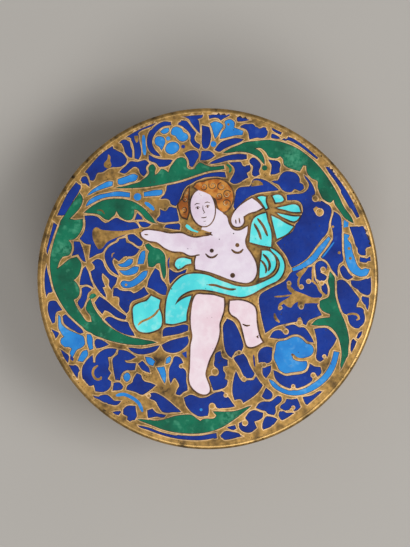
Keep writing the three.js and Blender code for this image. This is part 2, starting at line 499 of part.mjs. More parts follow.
      [-21.2, -8.9], [-23.2, -7.5], [-24.3, -7.1], [-24.8, -7.9], [-25.6, -7], [-26.3, -5.6]
    ],
    [
      [-24.2, -9.6], [-23.2, -9.1], [-21.8, -9.6], [-20.2, -10.2], [-19, -10.3], [-18.6, -11.2],
      [-17.9, -12.4], [-17.2, -13.4], [-18.5, -13.3], [-20.5, -12.6], [-22.3, -11.5],
      [-23.4, -10.4]
    ],
    [
      [-22.2, -2.2], [-21.6, -2.2], [-20.8, -2.8], [-19.5, -3.1], [-18.3, -3.1], [-17.5, -3.6],
      [-16.5, -3.3], [-15.2, -2.4], [-15, -2.2], [-14.6, -3], [-14.2, -3.5], [-15.5, -4.2],
      [-17, -4.7], [-18, -5.2], [-18.6, -6.3], [-18.7, -7.3], [-19.1, -7.8], [-19.9, -7],
      [-20.6, -6], [-20.5, -5.2], [-20.6, -4.2], [-21.4, -3.9], [-22, -3.9], [-22.1, -3]
    ],
    [
      [-12.3, 2.2], [-11.5, 1.6], [-11.3, 0.4], [-10.4, -0.9], [-9.8, -2.2], [-9.9, -3.7],
      [-11.2, -3.3], [-12.8, -2.3], [-14, -1.8], [-13.7, -0.4], [-13, 1]
    ],
    [
      [-8.9, 2], [-8, 1.4], [-6.8, 1.3], [-5.2, 2], [-5.3, 1.3], [-7, 0.9], [-8, 0], [-8.8, -0.9],
      [-8.9, 0.5]
    ],
  ],
  east: [
    [
      [18.7, 19.5], [20.5, 19.7], [22.3, 19.9], [23.5, 20.8], [23.9, 22.2], [22.7, 24.1],
      [24.3, 22], [24.9, 20.2], [24.5, 18.9], [25.5, 17.9], [26.7, 18.2], [28.5, 16.8],
      [28.9, 15.2], [28.2, 12.6], [27.8, 11], [26.4, 9.3], [25.2, 7.6], [23.5, 5], [21, 3.2],
      [19.6, 2.6], [19.2, 4], [18.4, 5.7], [17.2, 7.2], [16.3, 8.4], [17.8, 9.8], [19.7, 11],
      [20.6, 12.6], [21.6, 14.2], [22.4, 16], [22.2, 17.6], [21.2, 18.5], [18.8, 18.6]
    ],
    [
      [29.6, 15.6], [30.8, 14.6], [31.2, 12], [31.3, 9], [31.5, 6], [31.6, 4.4], [30.6, 3.6],
      [30.2, 2.4], [30.3, 0.6], [29.4, 1.9], [28.6, 3.4], [27.6, 4.6], [26.5, 5.1], [27.2, 6],
      [28.8, 8], [29.5, 9.6], [29.4, 11.5], [28.9, 13.2]
    ],
    [
      [25.4, 3.4], [26.3, 4], [27.4, 3.7], [28, 2.8], [27.6, 2.2], [26.8, 2.3], [26.3, 2],
      [26.2, 1.3], [27, 0.9], [27.8, 0.5], [27.6, 0], [26.4, -0.3], [25.4, 0], [25.3, 1.5]
    ],
    [
      [27, -1.3], [27.6, -1.3], [28.1, -2.4], [27.9, -3.5], [27.4, -3.5], [26.6, -2.3]
    ],
    [
      [19.6, 1.6], [21, 2.3], [23, 2.7], [24.6, 2.8], [24.9, 0.8], [25.6, -1.4], [26.8, -3.4],
      [26.6, -4], [25.8, -4.5], [26, -5.9], [25.5, -6.2], [26.4, -8.4], [24.8, -9], [23.4, -9.7],
      [22.9, -10.6], [21.4, -9.9], [18.6, -10.3], [16, -10.9], [13.6, -12.4], [13, -10],
      [12.6, -8], [12.2, -5.6], [12.4, -4], [14.4, -2.6], [16.4, -1.6], [18, -0.7], [19, 0.4]
    ],
    [
      [33.5, 12], [35, 12.1], [36.3, 12.4], [36.9, 11.8], [37.5, 10], [38, 8.7], [38.2, 7.5],
      [37.2, 7.2], [36.8, 6.4], [36.8, 5.7], [36.1, 5.6], [35.4, 6.3], [35.3, 7.2], [34.8, 8],
      [34.4, 9.5], [33.9, 10.8]
    ],
    [
      [35.8, 5], [36.8, 4.7], [38.1, 5.3], [38.2, 4.2], [36.8, 4], [35.8, 4.2]
    ],
    [
      [31.2, 2.4], [31.7, 2.9], [32.4, 2.2], [33, 1.1], [33.8, 0.4], [33.2, 0], [32.2, 0.2],
      [31.5, 1.2]
    ],
    [
      [38.2, 0.4], [36.8, -0.3], [35.2, -0.7], [33.7, -0.5], [33.9, -1.4], [35.2, -2.3],
      [36.2, -3.3], [37.4, -3.9], [38, -3.6], [38.3, -1.5]
    ],
    [
      [36.3, -4.1], [37.8, -4.4], [37.8, -6], [37.5, -7.4], [37.1, -6.9], [36.8, -5.8],
      [36.2, -4.8]
    ],
    [
      [30.3, -0.6], [31.6, -0.4], [32.8, -1.4], [34, -3], [35.4, -4.8], [34.7, -5.9], [34.7, -6.9],
      [35.9, -7], [36.7, -8.2], [36.8, -9.8], [36.1, -11], [35, -11.4], [33.7, -10.8],
      [33.2, -9.8], [32.8, -8.3], [31.7, -7.8], [31, -6], [30.4, -3.6]
    ],
  ],
  south_east: [
    [
      [14.8, -13.6], [15.6, -12.5], [17, -12.3], [17.6, -12.9], [18.8, -12.9], [18.9, -11.7],
      [18.3, -11.3], [20, -10.9], [21.4, -11.6], [22.4, -11.6], [23.6, -13], [24.6, -14.8],
      [23.4, -14.5], [22.2, -13.5], [20.6, -12.9], [19.2, -13.2], [17.8, -13.9], [16.2, -13.8]
    ],
    [
      [15.6, -21.7], [17, -22.3], [18.3, -22.9], [20.2, -22.7], [22, -22.5], [23.3, -21.8],
      [23.9, -20], [24.8, -20.7], [26.2, -20.9], [26.4, -22], [25.8, -22.7], [25, -21.8],
      [24.1, -21.9], [24.1, -22.8], [24.3, -23.6], [23, -24.9], [20.9, -25.7], [20, -24.4],
      [19.2, -25.7], [17.4, -24.8], [16, -23.3]
    ],
    [
      [25.2, -11.9], [27.4, -11.6], [28.8, -12.5], [30, -14], [29.2, -15.5], [28.3, -16.7],
      [27.9, -18], [27.1, -17.2], [26.9, -18.8], [26.3, -19.2], [25.7, -18.8], [25.8, -16.6],
      [25.7, -14.2]
    ],
    [
      [34.2, -14.2], [34.9, -14.7], [34.4, -16], [33.6, -17.4], [33.4, -16.2], [33.7, -15]
    ],
    [
      [36.2, -12.2], [35.4, -12.6], [34.8, -13.9], [35.3, -14.1], [36, -13.2]
    ],
    [
      [12.6, -16.6], [13.8, -16.1], [14.9, -16.3], [14.9, -17.6], [14.6, -19.2], [13.8, -19.6],
      [12.8, -19.3], [12.1, -19.4], [12, -17.6]
    ],
    [
      [13, -21.1], [14.6, -20.6], [14.5, -21.6], [13.6, -23], [13.1, -22.4]
    ],
    [
      [13.7, -25.9], [14.9, -27], [14.8, -27.8], [13.8, -28.2], [12.9, -27.5]
    ],
    [
      [17, -27.8], [17.1, -28.4], [16.4, -29.2], [15.6, -29.9], [15.7, -31], [15.4, -31.9],
      [14.3, -31.7], [13.7, -30.9], [12.4, -30.6], [11.5, -30.2], [12.2, -29.3], [13.4, -28.9],
      [14.8, -28.9], [15.8, -28.2], [16.4, -27.7]
    ],
    [
      [18.6, -28.4], [19.8, -28.5], [20.8, -28.3], [21.2, -29.2], [21.5, -30], [20.9, -30.6],
      [20.3, -30.8], [20.1, -30], [19.4, -30], [18.6, -30.8], [17.9, -30.9], [17.1, -30.3],
      [17.3, -29.8], [18.2, -29.2]
    ],
    [
      [17, -31.1], [17.9, -31], [18.4, -31.5], [20, -31.6], [18.8, -32.5], [17.5, -33.2],
      [16.8, -32]
    ],
    [
      [22.5, -27.9], [24.5, -27.5], [26, -26.6], [27, -26.3], [25.6, -27.6], [23.3, -29.6],
      [22.9, -28.9]
    ],
    [
      [14, -32.3], [15.2, -32.5], [16, -33], [15.3, -34], [14.9, -34.6], [13, -35.4], [13, -34.2],
      [13.4, -33]
    ],
  ],
  south: [
    [
      [9, -32.6], [10, -31.3], [11, -31], [12.7, -31.6], [12.6, -32.4], [11.4, -33.1],
      [10.6, -33.3], [10.9, -34.2], [11.2, -34.9], [10, -35.8], [8.5, -35.7], [7.6, -34.9],
      [7.5, -34], [8.3, -33.6], [8.4, -34.4], [9.2, -34.5], [9.6, -33.8], [9.3, -33]
    ],
    [
      [3.2, -36.8], [4, -36], [5.5, -35.8], [7, -36.4], [8.3, -36.9], [7, -37.2], [5, -37.7],
      [3.7, -37.7]
    ],
    [
      [4.8, -34.9], [6.2, -34.6], [6.4, -35.1], [5.9, -35.5], [5.2, -35.2]
    ],
    [
      [-16.5, -34.3], [-14, -34.8], [-11, -35.9], [-8, -36.6], [-5, -36.9], [-2, -37], [0, -36.7],
      [1.8, -36.4], [1.9, -37.2], [0.5, -37.6], [-2, -37.9], [-5, -37.8], [-8, -37.4],
      [-11, -36.6], [-14, -35.5], [-16.3, -34.6]
    ],
    [
      [-5.4, -28], [-4, -27.4], [-3, -27.7], [-2, -28.1], [-0.5, -28], [0.6, -27.5], [2, -26.8],
      [3.2, -26.4], [3.7, -26.9], [4, -27.7], [4.7, -28], [5.3, -28.9], [6, -29.8], [5, -30],
      [3.4, -30.1], [2.3, -30.1], [1.9, -29.4], [1.2, -28.9], [0.4, -29], [0, -29.8], [0, -31],
      [-0.2, -31.9], [-1.8, -32.1], [-3, -31.7], [-4, -30.8], [-4.9, -29.6]
    ],
    [
      [2, -17.6], [2.8, -17.2], [3.2, -18.6], [4.4, -19.2], [4.4, -20.2], [3.4, -20.4],
      [3.4, -21.6], [3.9, -22.4], [3.7, -23.5], [4.4, -24], [4.2, -24.9], [2.6, -25.9], [1.4, -26],
      [0.7, -24.4], [0.3, -23.2], [0.8, -22.9], [2, -23], [2.8, -22.2], [2.5, -21], [1.7, -20.3],
      [1.8, -19]
    ],
    [
      [3.8, -11], [4.6, -9.6], [5.8, -10.2], [6.8, -11.8], [7.6, -13.8], [8.1, -15.8],
      [7.7, -16.8], [6.4, -16.8], [5.8, -17.8], [5.6, -18.5], [4.5, -17.2], [4, -15.4], [3.8, -13]
    ],
    [
      [7, -18.2], [8.2, -17.8], [8.8, -18.5], [9.6, -20.4], [10.7, -22.3], [10.2, -23.1],
      [9.4, -23.2], [8.6, -22.6], [7.8, -21], [6.6, -19.2], [6.1, -18.6]
    ],
    [
      [6.6, -22], [7, -23], [7.7, -24], [8.7, -24.5], [9.4, -23.9], [10.8, -23.9], [11.3, -23.2],
      [12, -24.3], [12.6, -25], [12, -26], [10.8, -27.2], [9.4, -28.2], [8.4, -28.8], [8, -28.2],
      [7.2, -28], [6.4, -28.2], [6, -27], [6, -25], [6.3, -23.3]
    ],
    [
      [-10.4, -12.6], [-10.2, -11.9], [-8, -11.4], [-5.6, -10.9], [-4.8, -11.1], [-4.9, -12],
      [-6.5, -12.6], [-8.5, -13], [-10.4, -13.3]
    ],
    [
      [-10.6, -15.6], [-9, -14.8], [-7, -14.2], [-4.9, -13.7], [-4.7, -14.8], [-5.6, -16],
      [-7.2, -17], [-9, -17.1], [-10.1, -16.6]
    ],
    [
      [-7.9, -18.5], [-7.2, -18.4], [-6.4, -18.9], [-6.1, -19.6], [-6.9, -19.9], [-6.8, -20.8],
      [-5.6, -21.4], [-5.2, -22.5], [-5.3, -24], [-5, -25.4], [-5, -26], [-6, -26.5],
      [-6.6, -27.1], [-7.3, -26.9], [-7, -26], [-6.5, -25.2], [-6.8, -24.2], [-7.6, -23],
      [-8.2, -23.2], [-8.7, -24.2], [-8.9, -23], [-8.9, -21.5], [-8.4, -19.8]
    ],
    [
      [-14, -27.4], [-12.8, -26.9], [-11, -27.6], [-9.2, -28.9], [-7.6, -30.3], [-6.6, -31.1],
      [-8.4, -31.1], [-10.3, -31.2], [-11.3, -30], [-12.2, -28.5], [-13.3, -28]
    ],
    [
      [-14, -31], [-13.1, -30.7], [-12.2, -31.6], [-10, -32], [-10.4, -32.4], [-12, -32.1],
      [-13.9, -32.5]
    ],
  ],
  south_west: [
    [
      [-26.5, -14.6], [-25.6, -14.2], [-23.6, -15.4], [-25, -15.9], [-26, -16.1], [-26.6, -15.3]
    ],
    [
      [-34.7, -16.4], [-33.4, -17.3], [-32.7, -18], [-32.6, -19], [-32.8, -19.8], [-33.6, -18.8]
    ],
    [
      [-32.7, -20.2], [-31.2, -20.4], [-30.5, -21], [-30.4, -22.4], [-30.6, -23.5], [-31.5, -22.2]
    ],
    [
      [-27.2, -18.2], [-28.4, -19.2], [-29.2, -20.8], [-29.3, -22.6], [-28.8, -24.1],
      [-27.8, -24.9], [-26.6, -24.6], [-26.2, -26.2], [-24.4, -26.3], [-23.1, -25.3],
      [-22.9, -24.2], [-23.8, -23.5], [-23, -22.1], [-23.6, -21.2], [-23.4, -20.3], [-23.7, -18.2],
      [-22.4, -17.9], [-21.6, -16.6], [-23.2, -16.5], [-25, -17.2], [-26.1, -18.5], [-26.2, -19.9],
      [-27.1, -19.8]
    ],
    [
      [-20.8, -16.8], [-19.2, -17.1], [-17.2, -18.3], [-18.6, -18.9], [-19.8, -18.9],
      [-19.4, -19.7], [-17.1, -20], [-17.3, -21.2], [-19.2, -21.5], [-20.4, -22.3], [-20.8, -23.6],
      [-21.5, -23.5], [-22, -20.8], [-22, -18.5], [-21, -17.9]
    ],
    [
      [-21.9, -24.6], [-20.8, -24.5], [-20.1, -25.3], [-20.3, -25.7], [-22.1, -26]
    ],
    [
      [-16.6, -22.4], [-15.9, -22.7], [-15.6, -23.6], [-14.8, -24.3], [-13.6, -24.6], [-12.6, -25],
      [-13.8, -26], [-14.8, -26.7], [-15.4, -27], [-16.8, -26.4], [-18.9, -25.8], [-18.7, -25.2],
      [-17.6, -24.5], [-17.2, -23.4]
    ],
    [
      [-16.1, -20], [-15.4, -19.5], [-14.2, -20.6], [-13.8, -21.8], [-15.2, -21.2]
    ],
    [
      [-18.4, -16.3], [-15.5, -16.6], [-13.2, -16.2], [-11.6, -15.8], [-12.4, -16.7],
      [-13.8, -17.3], [-16, -17.5], [-17.3, -17.1]
    ],
    [
      [-27, -27.3], [-25.6, -27.6], [-23.8, -27.4], [-22.9, -28], [-22, -28.8], [-20.7, -28.8],
      [-21.4, -29.4], [-23, -29.2], [-24.4, -29], [-25.6, -28.3], [-26.6, -27.9]
    ],
    [
      [-18.8, -30], [-17.2, -30], [-17.1, -31], [-16.9, -32.2], [-17.4, -33], [-18.3, -33.5],
      [-19, -33], [-18.8, -32], [-19.8, -31.6], [-19.8, -31]
    ],
    [
      [-22.4, -31.2], [-21, -31], [-20.4, -31.3], [-20.9, -32], [-21.8, -31.8]
    ],
  ],
};

// The figure's head is a plain tilted oval.
const head = { x: -1.2, y: 16.6, halfWidth: 2.8, halfHeight: 4.3, tiltDegrees: 8, sides: 16 };

const box = new THREE.Group();
const lid = new THREE.Group();
const part = new THREE.Group();
part.add(box, lid);

function addMesh(group, name, geometry, material) {
  const mesh = new THREE.Mesh(geometry, material);
  mesh.name = name;
  group.add(mesh);
}

// A [radius, height] profile turned about the Z axis. It runs anticlockwise, and closes on itself or
// on the axis.
function turned(profile) {
  const points = profile.map(([radius, height]) => new THREE.Vector2(radius, height));
  if (points[0].x > 0) points.push(points[0].clone());
  return new THREE.LatheGeometry(points, segments).rotateX(Math.PI / 2);
}

function footRing() {
  const outer = bodyOuter - footSetback;
  const inner = outer - footWidth;
  const chamfer = footSetback;
  return turned([
    [inner, 0],
    [outer - chamfer, 0],
    [outer, chamfer],
    [bodyOuter, footHeight - chamfer],
    [bodyOuter, footHeight],
    [inner, footHeight],
  ]);
}

function basePlate() {
  return turned([
    [0, footHeight],
    [neckOuter, footHeight],
    [neckOuter, bodyFloor],
    [0, bodyFloor],
  ]);
}

// The wall of the box, drawn in a little between a base moulding and a rim moulding.
function bodyWallRing() {
  const waist = bodyOuter - mouldingDepth;
  return turned([
    [bodyInner, footHeight],
    [bodyOuter, footHeight],
    [bodyOuter, footHeight + mouldingHeight],
    [waist, footHeight + mouldingHeight + mouldingDepth],
    [waist, rim - mouldingHeight - mouldingDepth],
    [bodyOuter, rim - mouldingHeight],
    [bodyOuter, rim],
    [bodyInner, rim],
  ]);
}

function neckRing() {
  const top = rim + neckRise;
  return turned([
    [neckInner, bodyFloor],
    [neckOuter, bodyFloor],
    [neckOuter, top - neckChamfer],
    [neckOuter - neckChamfer, top],
    [neckInner, top],
  ]);
}

function lidWallRing() {
  const waist = lidRadius - mouldingDepth;
  const arris = mouldingDepth / 2;
  return turned([
    [lidInner, lidBottom],
    [lidRadius - arris, lidBottom],
    [lidRadius, lidBottom + arris],
    [lidRadius, lidBottom + mouldingHeight],
    [waist, lidBottom + mouldingHeight + mouldingDepth],
    [waist, lidTop - 2 * mouldingDepth],
    [lidRadius, lidTop - mouldingDepth],
    [lidRadius, lidTop],
    [lidInner, lidTop],
  ]);
}

// The lid's top: a tray for the enamel, with a plain border whose outer edge is rounded.
function lidPlate() {
  const roundedEdge = [0, 30, 60, 90].map((degrees) => {
    const angle = THREE.MathUtils.degToRad(degrees);
    const centre = lidRadius - edgeRound;
    return [centre + edgeRound * Math.cos(angle), faceTop - edgeRound + edgeRound * Math.sin(angle)];
  });
  return turned([
    [0, lidTop],
    [lidRadius, lidTop],
    ...roundedEdge,
    [recessRadius, faceTop],
    [recessRadius, plateTop],
    [0, plateTop],
  ]);
}

function disc(radius, bottom, top) {
  return turned([
    [0, bottom],
    [radius, bottom],
    [radius, top],
    [0, top],
  ]);
}

function solidOf(geometry) {
  geometry.deleteAttribute("normal");
  geometry.deleteAttribute("uv");
  const merged = mergeVertices(geometry, 1e-4);
  const vertProperties = merged.attributes.position.array;
  const triVerts = new Uint32Array(merged.index.array);
  return new wasm.Manifold(new wasm.Mesh({ numProp: 3, vertProperties, triVerts }));
}

function geometryOf(solid) {
  const { vertProperties, triVerts } = solid.getMesh();
  const geometry = new THREE.BufferGeometry();
  geometry.setAttribute("position", new THREE.BufferAttribute(vertProperties, 3));
  geometry.setIndex(new THREE.BufferAttribute(triVerts, 1));
  geometry.computeVertexNormals();
  return geometry;
}

function largestBody(solid) {
  return solid.decompose().reduce((best, body) => (body.volume() > best.volume() ? body : best));
}

// A drawn point on the lid, scaled to the field.
function placed([x, y]) {
  return new THREE.Vector2(x, y).multiplyScalar(fieldRadius / drawnRadius);
}

function headOutline() {
  const centre = new THREE.Vector2();
  const tilt = THREE.MathUtils.degToRad(head.tiltDegrees);
  return Array.from({ length: head.sides }, (_, i) => {
    const turn = (2 * Math.PI * i) / head.sides;
    const point = new THREE.Vector2(head.halfWidth * Math.cos(turn), head.halfHeight * Math.sin(turn));
    point.rotateAround(centre, tilt);
    return [head.x + point.x, head.y + point.y];
  });
}

// The outline moved inwards, each corner along its bisector by no more than twice the distance.
function inset(points, distance) {
  const side = THREE.ShapeUtils.isClockWise(points) ? -1 : 1;
  return points.map((point, i) => {
    const along = point.clone().sub(points.at(i - 1)).normalize();
    const onwards = points[(i + 1) % points.length].clone().sub(point).normalize();
    const bisector = new THREE.Vector2(-along.y - onwards.y, along.x + onwards.x).normalize();
    const lean = Math.max(0.5, bisector.x * -along.y + bisector.y * along.x);
    return point.clone().addScaledVector(bisector, (side * distance) / lean);
  });
}

function prism(points, bottom, top) {
  const shape = new THREE.Shape(points);
  const geometry = new THREE.ExtrudeGeometry(shape, { depth: top - bottom, bevelEnabled: false });
  return solidOf(geometry.translate(0, 0, bottom));
}

// A straight wall that stands on the line between two points and reaches halfWidth to each side of it.
function wallAlong(from, to, halfWidth, bottom, top) {
  const wall = new THREE.BoxGeometry(from.distanceTo(to) + 2 * halfWidth, 2 * halfWidth, top - bottom);
  wall.rotateZ(Math.atan2(to.y - from.y, to.x - from.x));
  wall.translate((from.x + to.x) / 2, (from.y + to.y) / 2, (bottom + top) / 2);
  return solidOf(wall);
}

function distanceToEdge(point, from, to) {
  const edge = new THREE.Line3(new THREE.Vector3(from.x, from.y, 0), new THREE.Vector3(to.x, to.y, 0));
  const target = new THREE.Vector3(point.x, point.y, 0);
  return edge.closestPointToPoint(target, true, new THREE.Vector3()).distanceTo(target);
}

// The edges of one outline that come nearer to another outline than the given distance.
function edgesNear(points, others, distance) {
  const edges = points.map((point, i) => [point, points[(i + 1) % points.length]]);
  const otherEdges = others.map((point, i) => [point, others[(i + 1) % others.length]]);
  const comesNear = (point, [from, to]) => distanceToEdge(point, from, to) < distance;
  return edges.filter(
    (edge) =>
      others.some((other) => comesNear(other, edge)) ||
      otherEdges.some((other) => edge.some((end) => comesNear(end, other))),
  );
}

// A cell's prism, cut back where an earlier cell is nearer than a wall's width.
function cutBack(cell, earlier, wall, bottom, top, shape) {
  let solid = prism(shape, bottom, top);
  const reach = cell.bounds.clone().expandByScalar(wall);
  for (const other of earlier) {
    if (!reach.intersectsBox(other.bounds)) continue;
    const near = edgesNear(other.points, cell.points, wall);
    if (!near.length) continue;
    solid = solid.subtract(prism(other.points, bottom - 1, top + 1));
    for (const [from, to] of near) {
      solid = solid.subtract(wallAlong(from, to, wall, bottom - 1, top + 1));
    }
  }
  return solid;
}

// Every cell of the picture, the ones that keep their whole outline first.
function listCells() {
  const drawn = [
    ...Object.entries(hair).map(([name, outline]) => ({ name, outline, kind: "hair" })),
    ...Object.entries(skin).map(([name, outline]) => ({ name, outline, kind: "skin" })),
    { name: "head", outline: headOutline(), kind: "skin" },
    ...Object.entries(sea).map(([name, outline]) => ({ name, outline, kind: "sea" })),
    ...Object.entries(leaf).map(([name, outline]) => ({ name, outline, kind: "leaf" })),
    ...Object.entries(sky).map(([name, outline]) => ({ name, outline, kind: "sky" })),
    ...Object.values(cobaltFields).flat().map((outline) => ({ outline, kind: "cobalt" })),
  ];
  return drawn.map(({ name, outline, kind }) => {
    const points = outline.map(placed);
    return { name, kind, points, bounds: new THREE.Box2().setFromPoints(points) };
  });
}

// The gilt walls are the field less its cells. The enamel fills stand on the cobalt ground, which
// shows in the rest.
function addPicture() {
  const cells = listCells();
  const cellLimit = solidOf(disc(fieldRadius - rimWall, groundTop - 1, faceTop + 1));
  const fillLimit = solidOf(disc(fieldRadius - rimWall - fillGap, groundTop - 1, faceTop + 1));
  let cellwork = solidOf(disc(fieldRadius, groundTop, faceTop));
  cells.forEach((cell, i) => {
    const earlier = cells.slice(0, i);
    const whole = cutBack(cell, earlier, cellWall, groundTop - 1, faceTop + 1, cell.points);
    const opening = whole.intersect(cellLimit);
    if (cell.kind === "cobalt") {
      cellwork = cellwork.subtract(opening);
      return;
    }
    cellwork = cellwork.subtract(largestBody(opening));
    const shape = inset(cell.points, fillGap);
    const fill = cutBack(cell, earlier, cellWall + fillGap, groundTop, faceTop, shape);
    const cut = fill.intersect(fillLimit);
    addMesh(lid, cell.name, geometryOf(largestBody(cut)), materials[cell.kind]);
  });
  addMesh(lid, "gilt_cellwork", geometryOf(largestBody(cellwork)), materials.gilt);
}

addMesh(box, "foot_ring", footRing(), materials.bronze);
addMesh(box, "base_plate", basePlate(), materials.bronze);
addMesh(box, "body_wall", bodyWallRing(), materials.bronze);
addMesh(box, "neck_ring", neckRing(), materials.gilt);
addMesh(lid, "lid_wall", lidWallRing(), materials.bronze);
addMesh(lid, "lid_plate", lidPlate(), materials.gilt);
addMesh(lid, "enamel_ground", disc(fieldRadius, plateTop, groundTop), materials.cobalt);
addPicture();

export default part;
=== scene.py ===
# Round bronze box with an enamelled lid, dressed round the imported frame.
# Metres, +Z up, with +Y at the top of the lid's picture. The picture's own tables are in millimetres.
import math

import bpy
import numpy
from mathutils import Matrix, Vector
from mathutils.geometry import delaunay_2d_cdt


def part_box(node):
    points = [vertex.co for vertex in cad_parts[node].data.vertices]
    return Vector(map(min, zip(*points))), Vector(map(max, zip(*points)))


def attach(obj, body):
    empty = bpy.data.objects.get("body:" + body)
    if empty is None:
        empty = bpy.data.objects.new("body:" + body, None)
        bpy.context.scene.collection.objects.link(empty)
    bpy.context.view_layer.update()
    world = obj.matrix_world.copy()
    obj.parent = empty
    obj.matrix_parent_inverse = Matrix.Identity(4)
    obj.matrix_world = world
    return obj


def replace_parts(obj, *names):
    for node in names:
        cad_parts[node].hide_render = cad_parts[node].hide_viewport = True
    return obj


mm = 0.001

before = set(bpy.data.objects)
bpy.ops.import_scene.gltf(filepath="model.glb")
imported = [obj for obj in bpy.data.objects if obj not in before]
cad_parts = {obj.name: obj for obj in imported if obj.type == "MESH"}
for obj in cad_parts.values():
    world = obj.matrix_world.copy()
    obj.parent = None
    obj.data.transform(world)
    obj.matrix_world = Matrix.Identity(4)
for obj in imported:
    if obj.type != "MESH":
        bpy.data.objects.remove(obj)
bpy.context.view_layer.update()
bpy.ops.object.select_all(action="DESELECT")
print("frame loaded:", len(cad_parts), "nodes")

# The lid's picture: drawn outlines, in millimetres from its centre, on a field of drawnRadius
drawnRadius = 39
hair = {
  "hair_crown": [
    [-3.2, 21.6], [-2.6, 22.4], [-1, 22.7], [0.6, 23.2], [2.6, 23.3], [4.4, 22.4], [5.6, 20.8],
    [5.9, 18.9], [5.2, 17], [4, 15.8], [2.9, 16], [2.2, 17.4], [1.9, 18.6], [0.6, 19.6],
    [-0.8, 20.3], [-2.2, 20.8]
  ],
  "hair_side": [
    [-5, 20.8], [-4.5, 21.4], [-4.6, 19.6], [-4.7, 17.6], [-4.6, 15.6], [-5, 14.2], [-6, 14.6],
    [-6.6, 16], [-6.9, 17.4], [-6, 18.6], [-5.5, 19.8]
  ],
}

skin = {
  "torso": [
    [-14.9, 11.3], [-12, 11.2], [-9, 10.6], [-6, 10.6], [-4.6, 10], [-3, 9.6], [-1, 9.9],
    [0.6, 10.3], [1.2, 12], [2.4, 14.4], [3.3, 15.4], [4.4, 14.6], [4.9, 12.9], [5.9, 11.5],
    [7.4, 11.3], [9.3, 12.3], [9.2, 10.8], [8.7, 9], [9, 7.5], [10.2, 5.7], [11.2, 3.6],
    [11.4, 1.6], [10.7, -0.1], [9.4, -0.9], [7.6, -0.8], [5, -0.1], [2.4, 0.9], [0, 1.7],
    [-2.9, 2.3], [-3, 4], [-2.6, 5.6], [-4.2, 5.5], [-6, 6.3], [-8.3, 6.5], [-10, 7.2], [-12, 8.6],
    [-14, 9], [-15.5, 10], [-15.7, 10.8]
  ],
  "hand": [
    [10.3, 18.9], [11.6, 18], [12.8, 16.7], [11.3, 15.9], [9.6, 15.4], [8.3, 14.6], [8.4, 13.4],
    [8, 12.6], [7, 12.2], [5.9, 12.6], [5.5, 13.8], [6, 15.3], [7.3, 16.9], [8.9, 18.1]
  ],
  "leg_left": [
    [-2.6, -3.7], [-1, -3.7], [1.5, -3.9], [3.7, -4.6], [3.8, -6], [3.6, -7.7], [3.1, -9.2],
    [2.7, -10.5], [2.7, -12.5], [2.3, -14.5], [1.5, -16.5], [0.4, -18.7], [-0.2, -20.5],
    [-0.6, -22.5], [-0.2, -23.8], [0.3, -25.2], [0.4, -26.3], [-0.2, -27], [-1.6, -27],
    [-3, -26.2], [-4, -25], [-4.4, -23.5], [-4.2, -21], [-4.1, -18], [-4, -15.5], [-3.6, -13.5],
    [-3.9, -11.5], [-4, -9.3], [-3.8, -7], [-3.4, -5]
  ],
  "leg_right": [
    [5.2, -5.2], [7.5, -5.1], [9.5, -5.6], [10.9, -6.6], [11.3, -8], [11.4, -10], [11.7, -12],
    [12.2, -13.8], [12.8, -14.8], [11.5, -15.6], [10.2, -16], [9.3, -15.8], [8.8, -14.6],
    [8.4, -13], [8, -11.4], [7.5, -10], [6.6, -9], [5.6, -8.4], [5.1, -7.6], [5.1, -6.3]
  ],
}

